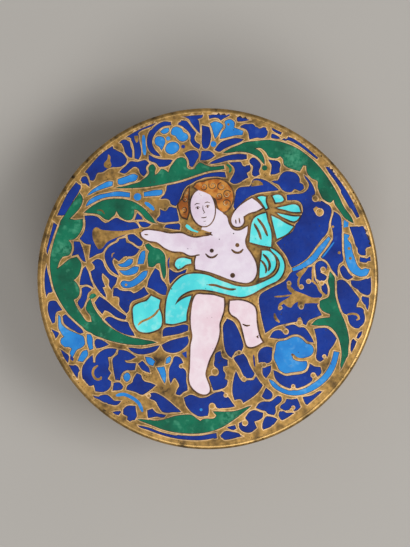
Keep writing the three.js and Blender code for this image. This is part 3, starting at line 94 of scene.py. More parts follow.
sea = {
  "drape": [
    [-9.9, -10.4], [-9.9, -7.5], [-9.5, -4.4], [-8.5, -2], [-7, -0.2], [-5.2, 0.9], [-2.5, 1.2],
    [0, 0.8], [2.4, -0.2], [4.4, -0.9], [6.3, -1.6], [8.6, -1.9], [10.4, -1.7], [12.4, -1],
    [14.2, -0.2], [15.8, 0.8], [16.7, 2.2], [16.9, 3.8], [16.2, 5.3], [15, 6.5], [14.6, 7.2],
    [16, 6.4], [17.3, 5], [17.9, 3.2], [17.6, 1.4], [16.4, -0.3], [14.4, -1.3], [12.3, -2.4],
    [10.4, -3.5], [8.2, -4.2], [6, -4], [3.5, -3.4], [1, -2.8], [-1.5, -2.5], [-3.8, -2.7],
    [-5.4, -3.3], [-6.8, -4.4], [-7.8, -6.2], [-6.6, -5.2], [-5.2, -4.4], [-3.9, -4], [-4.5, -6],
    [-5, -8], [-5.1, -9.8], [-6.8, -10.3], [-8.4, -10.6]
  ],
  "drape_hip": [
    [12.1, 0.2], [12.3, 3.6], [12.6, 5.2], [12.7, 6.6], [14.2, 6.5], [15.3, 5.6], [15.9, 4.2],
    [15.7, 2.6], [14.8, 1.4], [13.4, 0.5]
  ],
  "drape_shoulder": [
    [11, 14.3], [12.2, 15], [13.6, 15.4], [14, 13.5], [14.6, 11.8], [14.9, 10], [14.8, 7.5],
    [12.5, 7.9], [9.8, 8.6], [10, 11], [10.4, 13.3]
  ],
  "ribbon_curl": [
    [11.6, 19.1], [12.6, 19.4], [13.6, 19.2], [13.5, 18.2], [14, 16.6], [13.6, 16.4], [13, 17.4],
    [12.3, 18.4]
  ],
  "ribbon_knot": [
    [15.2, 19.4], [16, 19.7], [17.2, 19.5], [17.8, 18.6], [17.5, 18.2], [15.9, 17.9], [15.6, 18.6]
  ],
  "ribbon_upper": [
    [16.2, 16.6], [18, 17], [20.5, 17.4], [21.2, 17], [21.7, 15.7], [20, 15.7], [18, 16.2]
  ],
  "ribbon_middle": [
    [16.2, 15.4], [18, 15], [20, 14.6], [21.5, 14.6], [21, 13.9], [20.2, 13.5], [18.4, 14.1],
    [17, 14.8]
  ],
  "ribbon_lower": [
    [14.9, 14.8], [16.6, 14], [18.4, 12.9], [20, 12.2], [18.6, 10.6], [16.2, 9.4], [15.8, 11],
    [15.3, 13]
  ],
  "drape_end": [
    [-17.4, -6.6], [-16, -5.7], [-14.4, -5.2], [-13.3, -4], [-12.2, -4.5], [-11.2, -5],
    [-11.5, -6.8], [-11, -8.2], [-10.8, -10], [-11.2, -11.4], [-12.6, -12.2], [-14.6, -12.6],
    [-16.2, -12.2], [-17.2, -10.8], [-17.5, -8.8]
  ],
  "drape_elbow": [
    [-7.7, 3.2], [-7.3, 4.4], [-6, 4.9], [-4, 4.5], [-3.9, 3.6], [-5.2, 3.3], [-6.2, 2.6],
    [-7, 2.3]
  ],
}

leaf = {
  "leaf_crest": [
    [-21.5, 21.3], [-18, 22], [-15.8, 22.7], [-14.8, 23.5], [-13.7, 24.6], [-13.9, 25.6],
    [-13.6, 26.5], [-12.9, 26.7], [-12.4, 26], [-12.6, 25], [-12.5, 24.1], [-11.6, 24.7],
    [-10.9, 25.7], [-10.1, 25.4], [-9.2, 24.7], [-8.6, 26.3], [-7.6, 27.8], [-5.9, 28.3],
    [-5.1, 27.5], [-5, 26], [-4.2, 25.5], [-3.2, 25.8], [-2.7, 26.7], [-1.8, 27.1], [-0.7, 26.6],
    [0.6, 26.2], [3.6, 26.4], [3.7, 25.9], [0.5, 25.3], [-3, 24.3], [-6.5, 23.2], [-11, 22.2],
    [-15, 21.6]
  ],
  "leaf_trumpet": [
    [-28.8, 15.6], [-27, 17], [-25, 18.2], [-22.5, 18.7], [-19.5, 18.5], [-17.2, 17.8],
    [-15, 16.3], [-13.3, 14.4], [-12.1, 13], [-13.8, 13.7], [-15.4, 15], [-16.4, 16.2],
    [-17.4, 16.4], [-17.5, 14.9], [-18.3, 13.8], [-19.5, 13.8], [-20.5, 14.6], [-21.5, 16.4],
    [-22, 15], [-23.2, 13.7], [-24.2, 14.2], [-25.6, 15.2]
  ],
  "leaf_west": [
    [-30.1, 20.3], [-29.5, 18.6], [-30, 17], [-31.4, 15.3], [-32.7, 14], [-31.2, 13.7],
    [-29.5, 13.9], [-29.5, 12.3], [-30.3, 10.6], [-31.5, 9.4], [-33.1, 9.2], [-32.2, 8.2],
    [-31.9, 7], [-32.6, 5.7], [-34.2, 5.2], [-35.7, 1.9], [-34, 3.2], [-32.4, 4.5], [-30.8, 5],
    [-30, 4], [-29.9, 2.2], [-30.7, 0.6], [-31.7, -0.3], [-30.6, -1.5], [-30.2, -3], [-30.7, -4.3],
    [-31.7, -4.8], [-31, -6.5], [-29.8, -8.4], [-28.3, -10.2], [-27.1, -10.2], [-27.4, -8.6],
    [-28.4, -7.2], [-28.3, -5.9], [-27.6, -4.9], [-27.1, -6.4], [-25.4, -9], [-23, -11.2],
    [-20, -12.9], [-16.5, -14.1], [-12.3, -14.9], [-15.5, -15.4], [-19, -15.2], [-23.5, -14.2],
    [-27.4, -12.7], [-30.5, -10.4], [-33, -7.6], [-35, -4.4], [-36.5, -0.6], [-36.9, 3.5],
    [-36.4, 7.6], [-35.2, 11.7], [-33.4, 15.4]
  ],
  "leaf_tulip": [
    [-14.6, 7.9], [-13.9, 8.2], [-12.9, 7.3], [-11.4, 6.8], [-10.3, 5.6], [-10.1, 3.5], [-10, 1],
    [-10.3, 0], [-10.8, 2], [-11.1, 3.8], [-12, 3.7], [-12.9, 2.9], [-13.8, 3], [-14, 5],
    [-13.6, 6.6], [-14.3, 7.2]
  ],
  "leaf_north_east": [
    [3.8, 29.6], [6, 30.8], [8.5, 31.8], [11.5, 32.2], [15, 32.4], [18, 31.7], [21, 30.4],
    [24, 28.2], [26.6, 25.5], [28.8, 22.4], [30.4, 19.6], [31.8, 16.7], [33.6, 14.2], [34, 13.2],
    [32.2, 14.4], [30.9, 16.2], [29.9, 17.6], [29.6, 19], [28.6, 18], [27.5, 18.3], [26.5, 19.9],
    [25.9, 21.6], [25.8, 23], [24.4, 23.7], [23.4, 25], [23.2, 26.6], [22.3, 26.8], [21.5, 25.4],
    [20, 25.8], [18, 26.8], [17.7, 28.2], [16.9, 28.9], [15.8, 28.3], [14.6, 28.5], [13.6, 29.9],
    [12.4, 30.8], [10.4, 30.6], [12, 29.9], [13, 28.3], [13.2, 27], [12.2, 28.1], [10.6, 29.3],
    [8.4, 29.9], [6, 29.8]
  ],
  "leaf_east": [
    [28.7, 1.5], [29.5, 0.6], [29.7, -1.5], [29.8, -4], [30.4, -6.2], [31.2, -8.4], [32.1, -10.5],
    [32.8, -13.2], [33, -15.8], [32.6, -18.2], [31.7, -20.4], [31, -21.6], [31.3, -19.6],
    [31.5, -17.6], [31.2, -15.4], [30.6, -13.4], [29.5, -11.8], [28.2, -10.9], [26.4, -10.9],
    [24.5, -10.7], [25.6, -9.7], [27.2, -9.3], [28.7, -9.2], [28.8, -8.2], [27.3, -7.6],
    [26.2, -6.5], [26.2, -5.2], [27.6, -4.8], [28.5, -4.2], [28.6, -2.4], [28.3, -0.4]
  ],
  "leaf_south": [
    [-16.3, -33], [-14, -33.2], [-12, -33.4], [-10, -33], [-7.6, -32.3], [-5.4, -32],
    [-3.8, -32.1], [-2.7, -32.9], [-1.8, -33.5], [-0.9, -33], [1.6, -32.8], [2.2, -32],
    [1.4, -31.2], [4, -31.3], [6.6, -31.1], [9.9, -29.9], [8, -31.4], [5.6, -33.2], [3, -34.8],
    [0, -35.8], [-3.5, -36.2], [-7, -36], [-10.5, -35.2], [-13.6, -34]
  ],
}

sky = {
  "stem_north_west": [
    [-21, 22.4], [-21, 23.3], [-19, 24], [-17.3, 24.5], [-16.5, 24.1], [-16.9, 23.2],
    [-18.5, 22.7], [-20.5, 22.1]
  ],
  "stem_upper_left": [
    [-22.5, 21.9], [-22.4, 22.7], [-23.2, 22.8], [-25, 22], [-27, 20.8], [-28.2, 19.6],
    [-26, 20.7]
  ],
  "stem_over_trumpet": [
    [-28.5, 17.1], [-27.9, 18.2], [-26, 19.4], [-23.5, 20], [-21, 20.4], [-18.4, 20.1],
    [-18.4, 19.2], [-21, 19.4], [-24, 19.1], [-26.2, 18.3]
  ],
  "stem_middle_left": [
    [-14.9, 19.4], [-14.9, 20.2], [-12.5, 20.7], [-10.8, 20.8], [-10.7, 20], [-11.2, 19.7],
    [-13, 19.5]
  ],
  "tulip_tip": [
    [-21, 3.3], [-19.8, 3.6], [-18.4, 4.6], [-17.7, 4.5], [-17.8, 3.8], [-18.8, 3], [-20.3, 2.9]
  ],
  "tulip_petal_right": [
    [-16.4, 3.5], [-16.2, 4.6], [-15.3, 6.4], [-14.8, 6.5], [-14.8, 5], [-15.2, 3.6]
  ],
  "tulip_petal_middle": [
    [-20.7, 1.9], [-19, 1.9], [-17.2, 2.8], [-16.3, 2.7], [-16.6, 1.7], [-18, 1], [-19.6, 1]
  ],
  "tulip_petal_lower": [
    [-20.4, -1.2], [-20, -0.6], [-18.3, -0.7], [-16.6, 0.3], [-15, 1.7], [-14.2, 1.8],
    [-14.5, 0.7], [-16, -0.8], [-18, -1.9], [-19.9, -1.9]
  ],
  "flower_north_tip": [
    [-11, 34.5], [-10.3, 35.2], [-9.3, 35.3], [-9.1, 34.8], [-9.6, 34.3], [-10.5, 34.1]
  ],
  "flower_north_petal_right": [
    [-8.6, 34.5], [-8.2, 35.3], [-7.2, 35.6], [-6.2, 35.2], [-5.9, 34.4], [-5, 33.9], [-4.7, 33.2],
    [-5.2, 32.5], [-6.1, 32.3], [-7, 32.8], [-7.6, 33.6], [-8.4, 33.9]
  ],
  "flower_north_petal_left": [
    [-12.4, 32.2], [-12.1, 33.1], [-11.2, 33.3], [-10.4, 33], [-10.1, 32.2], [-10.5, 31],
    [-10.9, 30.3], [-11.3, 31], [-12.1, 31.5]
  ],
  "flower_north_petal_low": [
    [-9.9, 30.6], [-9.2, 31.7], [-8, 32], [-7.1, 31.6], [-6.8, 30.7], [-7.3, 29.9], [-8.5, 29.3],
    [-9.7, 29.8]
  ],
  "bud_top_left": [
    [0.6, 36.3], [1.6, 36.8], [2.8, 36.5], [3.6, 36], [3, 35], [2.3, 33.7], [1.7, 33], [1.3, 34.4],
    [1, 35.5]
  ],
  "bud_top_right": [
    [4, 36.8], [4.7, 37.4], [5.7, 37.3], [6.2, 36.5], [6, 35.4], [7.2, 35], [8.2, 34.6], [8, 33.8],
    [6.3, 33.7], [4.4, 33.2], [2.9, 32.9], [3.3, 34.2], [4.2, 35.4]
  ],
  "ribbon_east": [
    [28.7, 9.4], [28.3, 9.8], [26.2, 7.6], [24.2, 5.4], [21.8, 3.5], [19.6, 2.5], [19.9, 1.6],
    [22.4, 2.4], [25, 4.2], [27, 6.7]
  ],
  "fish": [
    [32, 10.5], [33.1, 10.2], [32.8, 9.2], [33.5, 8], [33.8, 6.4], [34.4, 4.6], [35, 3], [36, 2],
    [37, 2.4], [38, 2.3], [37.6, 1.2], [36.2, 0.6], [34.8, 0.9], [33.4, 2], [32.5, 4], [32, 6.5],
    [32, 8.5]
  ],
  "flower_east": [
    [15.6, -18.5], [15.9, -16.6], [16.3, -15], [17.4, -14.6], [18.6, -14.4], [19.8, -13.8],
    [21.2, -13.7], [22.3, -14.4], [23, -15.2], [24.2, -15.6], [24.7, -16.6], [24.3, -17.7],
    [22.8, -18.4], [21, -18.4], [20.2, -17.6], [19.6, -17.9], [20, -18.9], [21.2, -19.4],
    [23, -19.4], [23.3, -20.2], [22.6, -21.3], [21, -21.7], [19.4, -21.9], [18.2, -22.1],
    [16.9, -21.4], [16.3, -20.2]
  ],
  "stem_south_east": [
    [14.4, -23.7], [15.2, -25.1], [17, -26.4], [19.4, -27.2], [22, -27.1], [24.4, -26.2],
    [26.6, -24.8], [28.5, -22.9], [29.8, -20.6], [30.7, -17.3], [29.6, -17.1], [29, -19.4],
    [27.9, -21.6], [26.2, -23.5], [24, -25], [21.6, -26], [19, -26.2], [16.8, -25.4], [15.2, -24]
  ],
  "petal_south_large": [
    [-11.9, -20.9], [-10.3, -20.7], [-9.9, -22.5], [-10.1, -24.4], [-10.7, -23.4], [-11.3, -22]
  ],
  "petal_south_small": [
    [-14.6, -18.4], [-13.4, -18.6], [-12.5, -19.4], [-12.9, -20.3], [-14, -19.9]
  ],
  "petal_south_drop": [
    [-9.8, -19.8], [-9.6, -18.7], [-8.9, -18.3], [-8.6, -18.8], [-9, -19.6]
  ],
  "flower_west": [
    [-35, -8.6], [-34.6, -9], [-34.4, -10.6], [-33.4, -11.5], [-32, -12.2], [-30.6, -12.8],
    [-29.4, -13.4], [-29, -14.4], [-29, -15.4], [-29.8, -16.1], [-30.8, -16.6], [-31.4, -17.6],
    [-31.8, -18.4], [-32.4, -17.6], [-31.8, -16.4], [-32.6, -15.9], [-33.6, -15.9], [-34.5, -15.2],
    [-34.6, -14.4], [-33.6, -13.6], [-34.2, -12.9], [-34.9, -11.6], [-35, -10]
  ],
  "flower_west_petal": [
    [-28.3, -13.1], [-27.5, -13], [-27, -14.6], [-27, -16.3], [-27.7, -16.6], [-28.2, -15]
  ],
  "flower_west_low": [
    [-28.4, -16.8], [-28.2, -17.6], [-29.3, -19.4], [-30.4, -19.2], [-30, -18.2], [-29.2, -17]
  ],
  "bud_south_west": [
    [-19.75, -23], [-19.4, -22.2], [-19, -21.95], [-18.6, -22.2], [-18.25, -23], [-18.6, -23.8],
    [-19, -24.05], [-19.4, -23.8]
  ],
}

cobaltFields = {
  "north_west": [
    [
      [-30.9, 22.7], [-30.1, 21.9], [-30.1, 20.8], [-31.6, 18.2], [-33.5, 15], [-35.4, 14.8],
      [-34.3, 17.4], [-32.7, 20.4]
    ],
    [
      [-29.9, 23.1], [-29.5, 23.9], [-28.7, 24.1], [-28, 23.2], [-27.9, 21.9], [-28.6, 22.5],
      [-29.4, 22.6]
    ],
    [
      [-28.9, 25], [-27, 27.3], [-25, 29.4], [-22.4, 31.2], [-21.9, 30.2], [-20.8, 29.6],
      [-20, 29.2], [-19.2, 28], [-19.3, 26.9], [-20.5, 26.5], [-23.2, 26.2], [-24.8, 25.2],
      [-26, 25], [-27, 23.2], [-27.7, 23.1], [-28, 24.4]
    ],
    [
      [-20.8, 31.9], [-20.1, 32.6], [-19.1, 32.6], [-18.5, 31.9], [-18.3, 30.8], [-17.8, 30],
      [-17.9, 28.6], [-18.4, 28.7], [-19.2, 29.5], [-19.5, 30.8], [-19.9, 31.5]
    ],
    [
      [-19.4, 33.1], [-18, 34], [-15.8, 35.2], [-13.6, 36.1], [-12.2, 36.6], [-12.6, 36.1],
      [-14.2, 35.3], [-15.3, 34.9], [-16.2, 34.3], [-16.3, 32.4], [-16, 31], [-15.9, 29.2],
      [-16.4, 28.2], [-17, 28.4], [-17.2, 29.6], [-17.2, 31], [-17.8, 32.6], [-18.4, 33.1]
    ],
    [
      [-20.4, 25.1], [-18.2, 27.3], [-16.5, 27.2], [-14.5, 27.6], [-13.9, 27.1], [-14.8, 26.1],
      [-14.3, 25.2], [-15, 24.2], [-15.7, 24.9], [-16.1, 26], [-17.2, 26.5], [-18.6, 25.6],
      [-19.5, 24.9]
    ],
    [
      [-13.7, 28.8], [-12.6, 28.2], [-11, 27.8], [-8.2, 27.8], [-8.9, 27], [-10.2, 26.5],
      [-11.2, 26.2], [-12, 27.2], [-13.7, 27.8]
    ],
    [
      [-10.9, 18.9], [-9.6, 20.6], [-9.5, 21.8], [-7, 22.3], [-4.8, 23], [-2.4, 23.9], [0, 24.7],
      [2.2, 24.9], [3.8, 24.8], [4, 24], [2.6, 24], [1, 24.1], [-1, 23.9], [-3, 23], [-4.6, 22.1],
      [-5.7, 20.9], [-6.3, 19.4], [-6.9, 17.8], [-7.6, 17], [-8.4, 17.4], [-8.8, 18.5], [-9.8, 19]
    ],
    [
      [-12.1, 13.7], [-11, 15], [-11, 16], [-10.3, 15.7], [-9.6, 15.8], [-8.9, 16.7], [-7.3, 16.6],
      [-7.2, 15], [-6.9, 13.5], [-8.5, 13.3], [-10.5, 13.4]
    ],
    [
      [-9.9, 12.2], [-9.6, 12.6], [-6.9, 13], [-6.7, 12.6], [-6.8, 11.7], [-8, 11.8]
    ],
  ],
  "north": [
    [
      [-8.6, 36.8], [-10.4, 36.9], [-12.2, 36], [-13.6, 34.3], [-14.1, 32.2], [-13.7, 30.4],
      [-12.8, 29.4], [-11.4, 28.9], [-12.7, 30.3], [-13.3, 31.8], [-13, 33.3], [-12.2, 34.6],
      [-11, 35.5], [-9.6, 36], [-8.7, 36.2]
    ],
    [
      [-6.9, 36.2], [-6.2, 37.2], [-5.2, 37], [-4, 35.4], [-2.9, 34.2], [-3.4, 33], [-3, 32],
      [-1.9, 31.3], [-2.2, 30.7], [-3.2, 31.3], [-3.9, 32.4], [-3.9, 33.6], [-4.8, 35]
    ],
    [
      [-6.1, 38], [-4, 38.3], [-1.1, 38.5], [-1.3, 37.8], [-2.4, 37.4], [-2.2, 36], [-2, 34.3],
      [-3.2, 35.9], [-4.3, 37.2], [-5.2, 37.8]
    ],
    [
      [-1.2, 35.7], [0.2, 35.4], [0.5, 34], [0.4, 32.5], [-0.1, 31], [-0.5, 30.6], [-1.1, 31],
      [-1.2, 33]
    ],
    [
      [0.1, 38.4], [2.5, 38.7], [5.3, 38.5], [4.6, 38], [3.8, 37.6], [3, 37.2], [2.4, 37.6],
      [1.2, 37.7], [0.3, 37.4]
    ],
    [
      [6.9, 38.1], [8.2, 37.9], [10, 37.3], [8.5, 36.9], [7, 36.8], [6.7, 37.4]
    ],
    [
      [7.7, 35.6], [9, 36.2], [10.6, 36.3], [11.4, 35.4], [12.2, 34.9], [12.9, 35.6], [13.7, 35.4],
      [13.7, 33.9], [12.9, 33.2], [11.5, 33.3], [9.9, 32.9], [9.6, 34.5], [8.9, 35.3]
    ],
    [
      [14.9, 35.5], [17.4, 34.3], [17.1, 33.7], [16.4, 34], [15, 35]
    ],
    [
      [15.1, 33.9], [15.9, 33.8], [16.8, 33], [16, 32.9], [15, 33.1]
    ],
    [
      [18.8, 33.4], [20.5, 32.7], [22.3, 31.5], [24.3, 29.8], [25.9, 28.4], [25.6, 28], [25, 28.4],
      [23, 30], [21, 31.4], [19, 32.4], [17.6, 32.7], [18.5, 32.9]
    ],
    [
      [27.5, 26.3], [28.5, 26.2], [30.3, 23.9], [32.4, 20.9], [34.2, 17.7], [35.6, 14.6],
      [34.9, 14.2], [33.4, 16.8], [31.4, 20.3], [29.8, 22.9], [28.2, 25.1]
    ],
    [
      [1.9, 30.3], [2.8, 31.5], [4.2, 32.4], [6, 32.8], [8.1, 32.6], [7.4, 32], [5.6, 31.4],
      [3.8, 30.7], [2.6, 30]
    ],
    [
      [-5.2, 29.4], [-4, 29.9], [-2.8, 29.8], [-2.3, 28.8], [-2.9, 27.8], [-3, 27], [-3.6, 26.3],
      [-4.1, 26.6], [-4.4, 28]
    ],
    [
      [-1.3, 29.8], [-0.2, 29.9], [0.8, 29.5], [1.3, 28.9], [0.5, 28.3], [-0.6, 28], [-1.6, 28]
    ],
    [
      [0.6, 27.1], [2.6, 28], [4.6, 28.7], [7, 29.2], [8.9, 29], [8.9, 28.3], [7, 28], [4.5, 27.9],
      [2.5, 27.4]
    ],
    [
      [5.2, 27.2], [6.5, 27.3], [7.6, 27.2], [7.9, 26.5], [8.6, 26.1], [9.2, 26.4], [9.8, 26.8],
      [9.9, 26], [9.5, 25.3], [8.9, 25], [9, 24.3], [9.2, 23.9], [8.3, 23.4], [7, 22.6], [6, 22.5],
      [5.4, 22.9], [5.9, 23.8], [6.3, 24.5], [6.5, 25.5], [6.3, 26.2], [5.8, 26.8]
    ],
    [
      [10.2, 28], [10.9, 28.3], [11.8, 27.6], [12.2, 26.8], [12, 26], [11.7, 25.4], [11.9, 24.6],
      [11, 24.2], [10.6, 24.5], [10.7, 25.5], [10.8, 26.3], [10, 26.9], [9.8, 27.3]
    ],
    [
      [14.3, 27.9], [15.2, 27.8], [16.2, 27.5], [16.8, 26.8], [16.6, 25.9], [16.6, 25.1],
      [15.6, 24.7], [14.9, 24.7], [15.1, 25.8], [15.1, 26.8]
    ],
    [
      [15.2, 22.8], [16.6, 23], [17, 23.8], [17.6, 24.6], [18.5, 25], [20, 24.8], [20.8, 24.3],
      [21.3, 23.4], [21.3, 22.4], [22.1, 22], [22.3, 21.3], [21.6, 20.8], [20.9, 21.1],
      [20.1, 21.2], [19.6, 20.6], [18.4, 20.6], [17.6, 21], [16.7, 22.2]
    ],
    [
      [6.1, 17.4], [6.4, 19.4], [7.3, 21.1], [8.8, 21.4], [10, 21.6], [10.9, 23.2], [12.4, 23.2],
      [14.3, 22.4], [16.3, 20.9], [13.5, 20.6], [11.3, 20.2], [9.6, 19.2], [7.8, 17.6], [6.3, 16]
    ],
  ],
  "west": [
    [
      [-36.2, 13.3], [-35.3, 12.6], [-36.3, 9.8], [-37.1, 7.4], [-37.6, 5.7], [-37.9, 6.3],
      [-37.5, 8.4], [-36.8, 11]
    ],
    [
      [-37.9, 3.5], [-37.4, 1], [-36.9, -1.5], [-36.6, -2.9], [-37.3, -3.3], [-37.9, -4.3],
      [-38.3, -2], [-38.3, 1]
    ],
    [
      [-37.4, -5.5], [-35.8, -5.4], [-35.2, -6.2], [-34.5, -7.2], [-35.6, -7.6], [-36, -8.6],
      [-36, -10.4], [-36.5, -10.5], [-37.3, -8.6], [-37.6, -6.8]
    ],
    [
      [-36.9, -11.7], [-35.8, -12.2], [-35.1, -12.6], [-35.1, -13.3], [-35.7, -14.1], [-36.1, -13]
    ],
    [
      [-34, -8.9], [-33.4, -8.6], [-32, -9.7], [-30.8, -10.7], [-29.6, -11.8], [-29.3, -12.6],
      [-30, -12.9], [-31.2, -12.3], [-32.8, -11.3], [-33.8, -10]
    ],
    [
      [-31.3, 8.6], [-30.2, 8.5], [-29.6, 7], [-28.9, 4.2], [-29.4, 4.4], [-30.3, 6], [-31.8, 5.5],
      [-31.4, 6.9]
    ],
    [
      [-28.7, 14.6], [-27.4, 14.7], [-26, 14.3], [-24.9, 13.3], [-24, 12.8], [-23.1, 13.5],
      [-22, 14.1], [-20.5, 13.9], [-18.5, 13.2], [-16.6, 12.8], [-16.2, 12], [-18, 11],
      [-21.2, 9.5], [-21.6, 9.2], [-23.2, 8.3], [-24.4, 7], [-24.8, 6.4], [-26, 6], [-27.6, 5.1],
      [-27.4, 6.6], [-27.2, 8.2], [-28.6, 8.4], [-29.8, 9.4], [-28.8, 11], [-28.5, 13]
    ],
    [
      [-21.1, 1], [-22.7, 2.3], [-23.7, 4], [-24, 5.6], [-23.4, 7], [-22, 8], [-21, 8.5],
      [-20.8, 9.3], [-19.5, 9.4], [-19.3, 8.3], [-18, 8], [-16.3, 6.9], [-17, 5.9], [-18.2, 5.4],
      [-19.5, 5.5], [-20.9, 4.4], [-22.1, 5.2], [-22.6, 4.3], [-22.2, 2.8]
    ],
    [
      [-18.9, 10.3], [-17.9, 10.5], [-17, 9.9], [-15.5, 8.6], [-15.7, 8], [-16.5, 7.8],
      [-17.4, 8.6], [-18.3, 9.1]
    ],
    [
      [-16.2, 13.3], [-15, 13.2], [-13.6, 12.7], [-14.5, 12.3], [-15.8, 12.5]
    ],
    [
      [-16.9, 14], [-16.5, 15.3], [-15.6, 14.6], [-15.4, 14]
    ],
    [
      [-28.8, 2.6], [-28.2, 1.4], [-27.6, -0.7], [-26.8, -2.1], [-28.3, -1.3], [-29.9, -1.3],
      [-29.6, 0.6], [-29.2, 2.3]
    ],
    [
      [-29.4, -2.3], [-28.4, -1.9], [-27.3, -2.4], [-28.3, -3.3], [-28.6, -4.8], [-29.2, -6.3],
      [-29.7, -6.8], [-30.3, -5.6], [-29.6, -4.4]
    ],
    [
      [-26.9, 3.8], [-26, 4.4], [-25, 4.1], [-24.4, 2.7], [-23.2, 1], [-21.5, 0.1], [-21.8, -1],
      [-22.6, -2.6], [-23, -1.5], [-22.9, -0.3], [-23.8, 0.8], [-24.9, 1.8], [-25.1, 0.3],
      [-24.4, -1.7], [-25, -1.9], [-24, -4.2], [-25.4, -2.6], [-26.7, -0.5], [-27.3, 1.6],
      [-26.3, 2.2], [-26.4, 3.1]
    ],
    [
      [-25.4, -4.4], [-24.2, -5.1], [-22.6, -6.5], [-20.8, -7.9], [-19.4, -8.8], [-19.5, -9.4],
      [-21.2, -8.9], [-23.2, -7.5], [-24.3, -7.1], [-24.8, -7.9], [-25.6, -7], [-26.3, -5.6]
    ],
    [
      [-24.2, -9.6], [-23.2, -9.1], [-21.8, -9.6], [-20.2, -10.2], [-19, -10.3], [-18.6, -11.2],
      [-17.9, -12.4], [-17.2, -13.4], [-18.5, -13.3], [-20.5, -12.6], [-22.3, -11.5],
      [-23.4, -10.4]
    ],
    [
      [-22.2, -2.2], [-21.6, -2.2], [-20.8, -2.8], [-19.5, -3.1], [-18.3, -3.1], [-17.5, -3.6],
      [-16.5, -3.3], [-15.2, -2.4], [-15, -2.2], [-14.6, -3], [-14.2, -3.5], [-15.5, -4.2],
      [-17, -4.7], [-18, -5.2], [-18.6, -6.3], [-18.7, -7.3], [-19.1, -7.8], [-19.9, -7],
      [-20.6, -6], [-20.5, -5.2], [-20.6, -4.2], [-21.4, -3.9], [-22, -3.9], [-22.1, -3]
    ],
    [
      [-12.3, 2.2], [-11.5, 1.6], [-11.3, 0.4], [-10.4, -0.9], [-9.8, -2.2], [-9.9, -3.7],
      [-11.2, -3.3], [-12.8, -2.3], [-14, -1.8], [-13.7, -0.4], [-13, 1]
    ],
    [
      [-8.9, 2], [-8, 1.4], [-6.8, 1.3], [-5.2, 2], [-5.3, 1.3], [-7, 0.9], [-8, 0], [-8.8, -0.9],
      [-8.9, 0.5]
    ],
  ],
  "east": [
    [
      [18.7, 19.5], [20.5, 19.7], [22.3, 19.9], [23.5, 20.8], [23.9, 22.2], [22.7, 24.1],
      [24.3, 22], [24.9, 20.2], [24.5, 18.9], [25.5, 17.9], [26.7, 18.2], [28.5, 16.8],
      [28.9, 15.2], [28.2, 12.6], [27.8, 11], [26.4, 9.3], [25.2, 7.6], [23.5, 5], [21, 3.2],
      [19.6, 2.6], [19.2, 4], [18.4, 5.7], [17.2, 7.2], [16.3, 8.4], [17.8, 9.8], [19.7, 11],
      [20.6, 12.6], [21.6, 14.2], [22.4, 16], [22.2, 17.6], [21.2, 18.5], [18.8, 18.6]
    ],
    [
      [29.6, 15.6], [30.8, 14.6], [31.2, 12], [31.3, 9], [31.5, 6], [31.6, 4.4], [30.6, 3.6],
      [30.2, 2.4], [30.3, 0.6], [29.4, 1.9], [28.6, 3.4], [27.6, 4.6], [26.5, 5.1], [27.2, 6],
      [28.8, 8], [29.5, 9.6], [29.4, 11.5], [28.9, 13.2]
    ],
    [
      [25.4, 3.4], [26.3, 4], [27.4, 3.7], [28, 2.8], [27.6, 2.2], [26.8, 2.3], [26.3, 2],
      [26.2, 1.3], [27, 0.9], [27.8, 0.5], [27.6, 0], [26.4, -0.3], [25.4, 0], [25.3, 1.5]
    ],
    [
      [27, -1.3], [27.6, -1.3], [28.1, -2.4], [27.9, -3.5], [27.4, -3.5], [26.6, -2.3]
    ],
    [
      [19.6, 1.6], [21, 2.3], [23, 2.7], [24.6, 2.8], [24.9, 0.8], [25.6, -1.4], [26.8, -3.4],
      [26.6, -4], [25.8, -4.5], [26, -5.9], [25.5, -6.2], [26.4, -8.4], [24.8, -9], [23.4, -9.7],
      [22.9, -10.6], [21.4, -9.9], [18.6, -10.3], [16, -10.9], [13.6, -12.4], [13, -10],
      [12.6, -8], [12.2, -5.6], [12.4, -4], [14.4, -2.6], [16.4, -1.6], [18, -0.7], [19, 0.4]
    ],
    [
      [33.5, 12], [35, 12.1], [36.3, 12.4], [36.9, 11.8], [37.5, 10], [38, 8.7], [38.2, 7.5],
      [37.2, 7.2], [36.8, 6.4], [36.8, 5.7], [36.1, 5.6], [35.4, 6.3], [35.3, 7.2], [34.8, 8],
      [34.4, 9.5], [33.9, 10.8]
    ],
    [
      [35.8, 5], [36.8, 4.7], [38.1, 5.3], [38.2, 4.2], [36.8, 4], [35.8, 4.2]
    ],
    [
      [31.2, 2.4], [31.7, 2.9], [32.4, 2.2], [33, 1.1], [33.8, 0.4], [33.2, 0], [32.2, 0.2],
      [31.5, 1.2]
    ],
    [
      [38.2, 0.4], [36.8, -0.3], [35.2, -0.7], [33.7, -0.5], [33.9, -1.4], [35.2, -2.3],
      [36.2, -3.3], [37.4, -3.9], [38, -3.6], [38.3, -1.5]
    ],
    [
      [36.3, -4.1], [37.8, -4.4], [37.8, -6], [37.5, -7.4], [37.1, -6.9], [36.8, -5.8],
      [36.2, -4.8]
    ],
    [
      [30.3, -0.6], [31.6, -0.4], [32.8, -1.4], [34, -3], [35.4, -4.8], [34.7, -5.9], [34.7, -6.9],
      [35.9, -7], [36.7, -8.2], [36.8, -9.8], [36.1, -11], [35, -11.4], [33.7, -10.8],
      [33.2, -9.8], [32.8, -8.3], [31.7, -7.8], [31, -6], [30.4, -3.6]
    ],
  ],
  "south_east": [
    [
      [14.8, -13.6], [15.6, -12.5], [17, -12.3], [17.6, -12.9], [18.8, -12.9], [18.9, -11.7],
      [18.3, -11.3], [20, -10.9], [21.4, -11.6], [22.4, -11.6], [23.6, -13], [24.6, -14.8],
      [23.4, -14.5], [22.2, -13.5], [20.6, -12.9], [19.2, -13.2], [17.8, -13.9], [16.2, -13.8]
    ],
    [
      [15.6, -21.7], [17, -22.3], [18.3, -22.9], [20.2, -22.7], [22, -22.5], [23.3, -21.8],
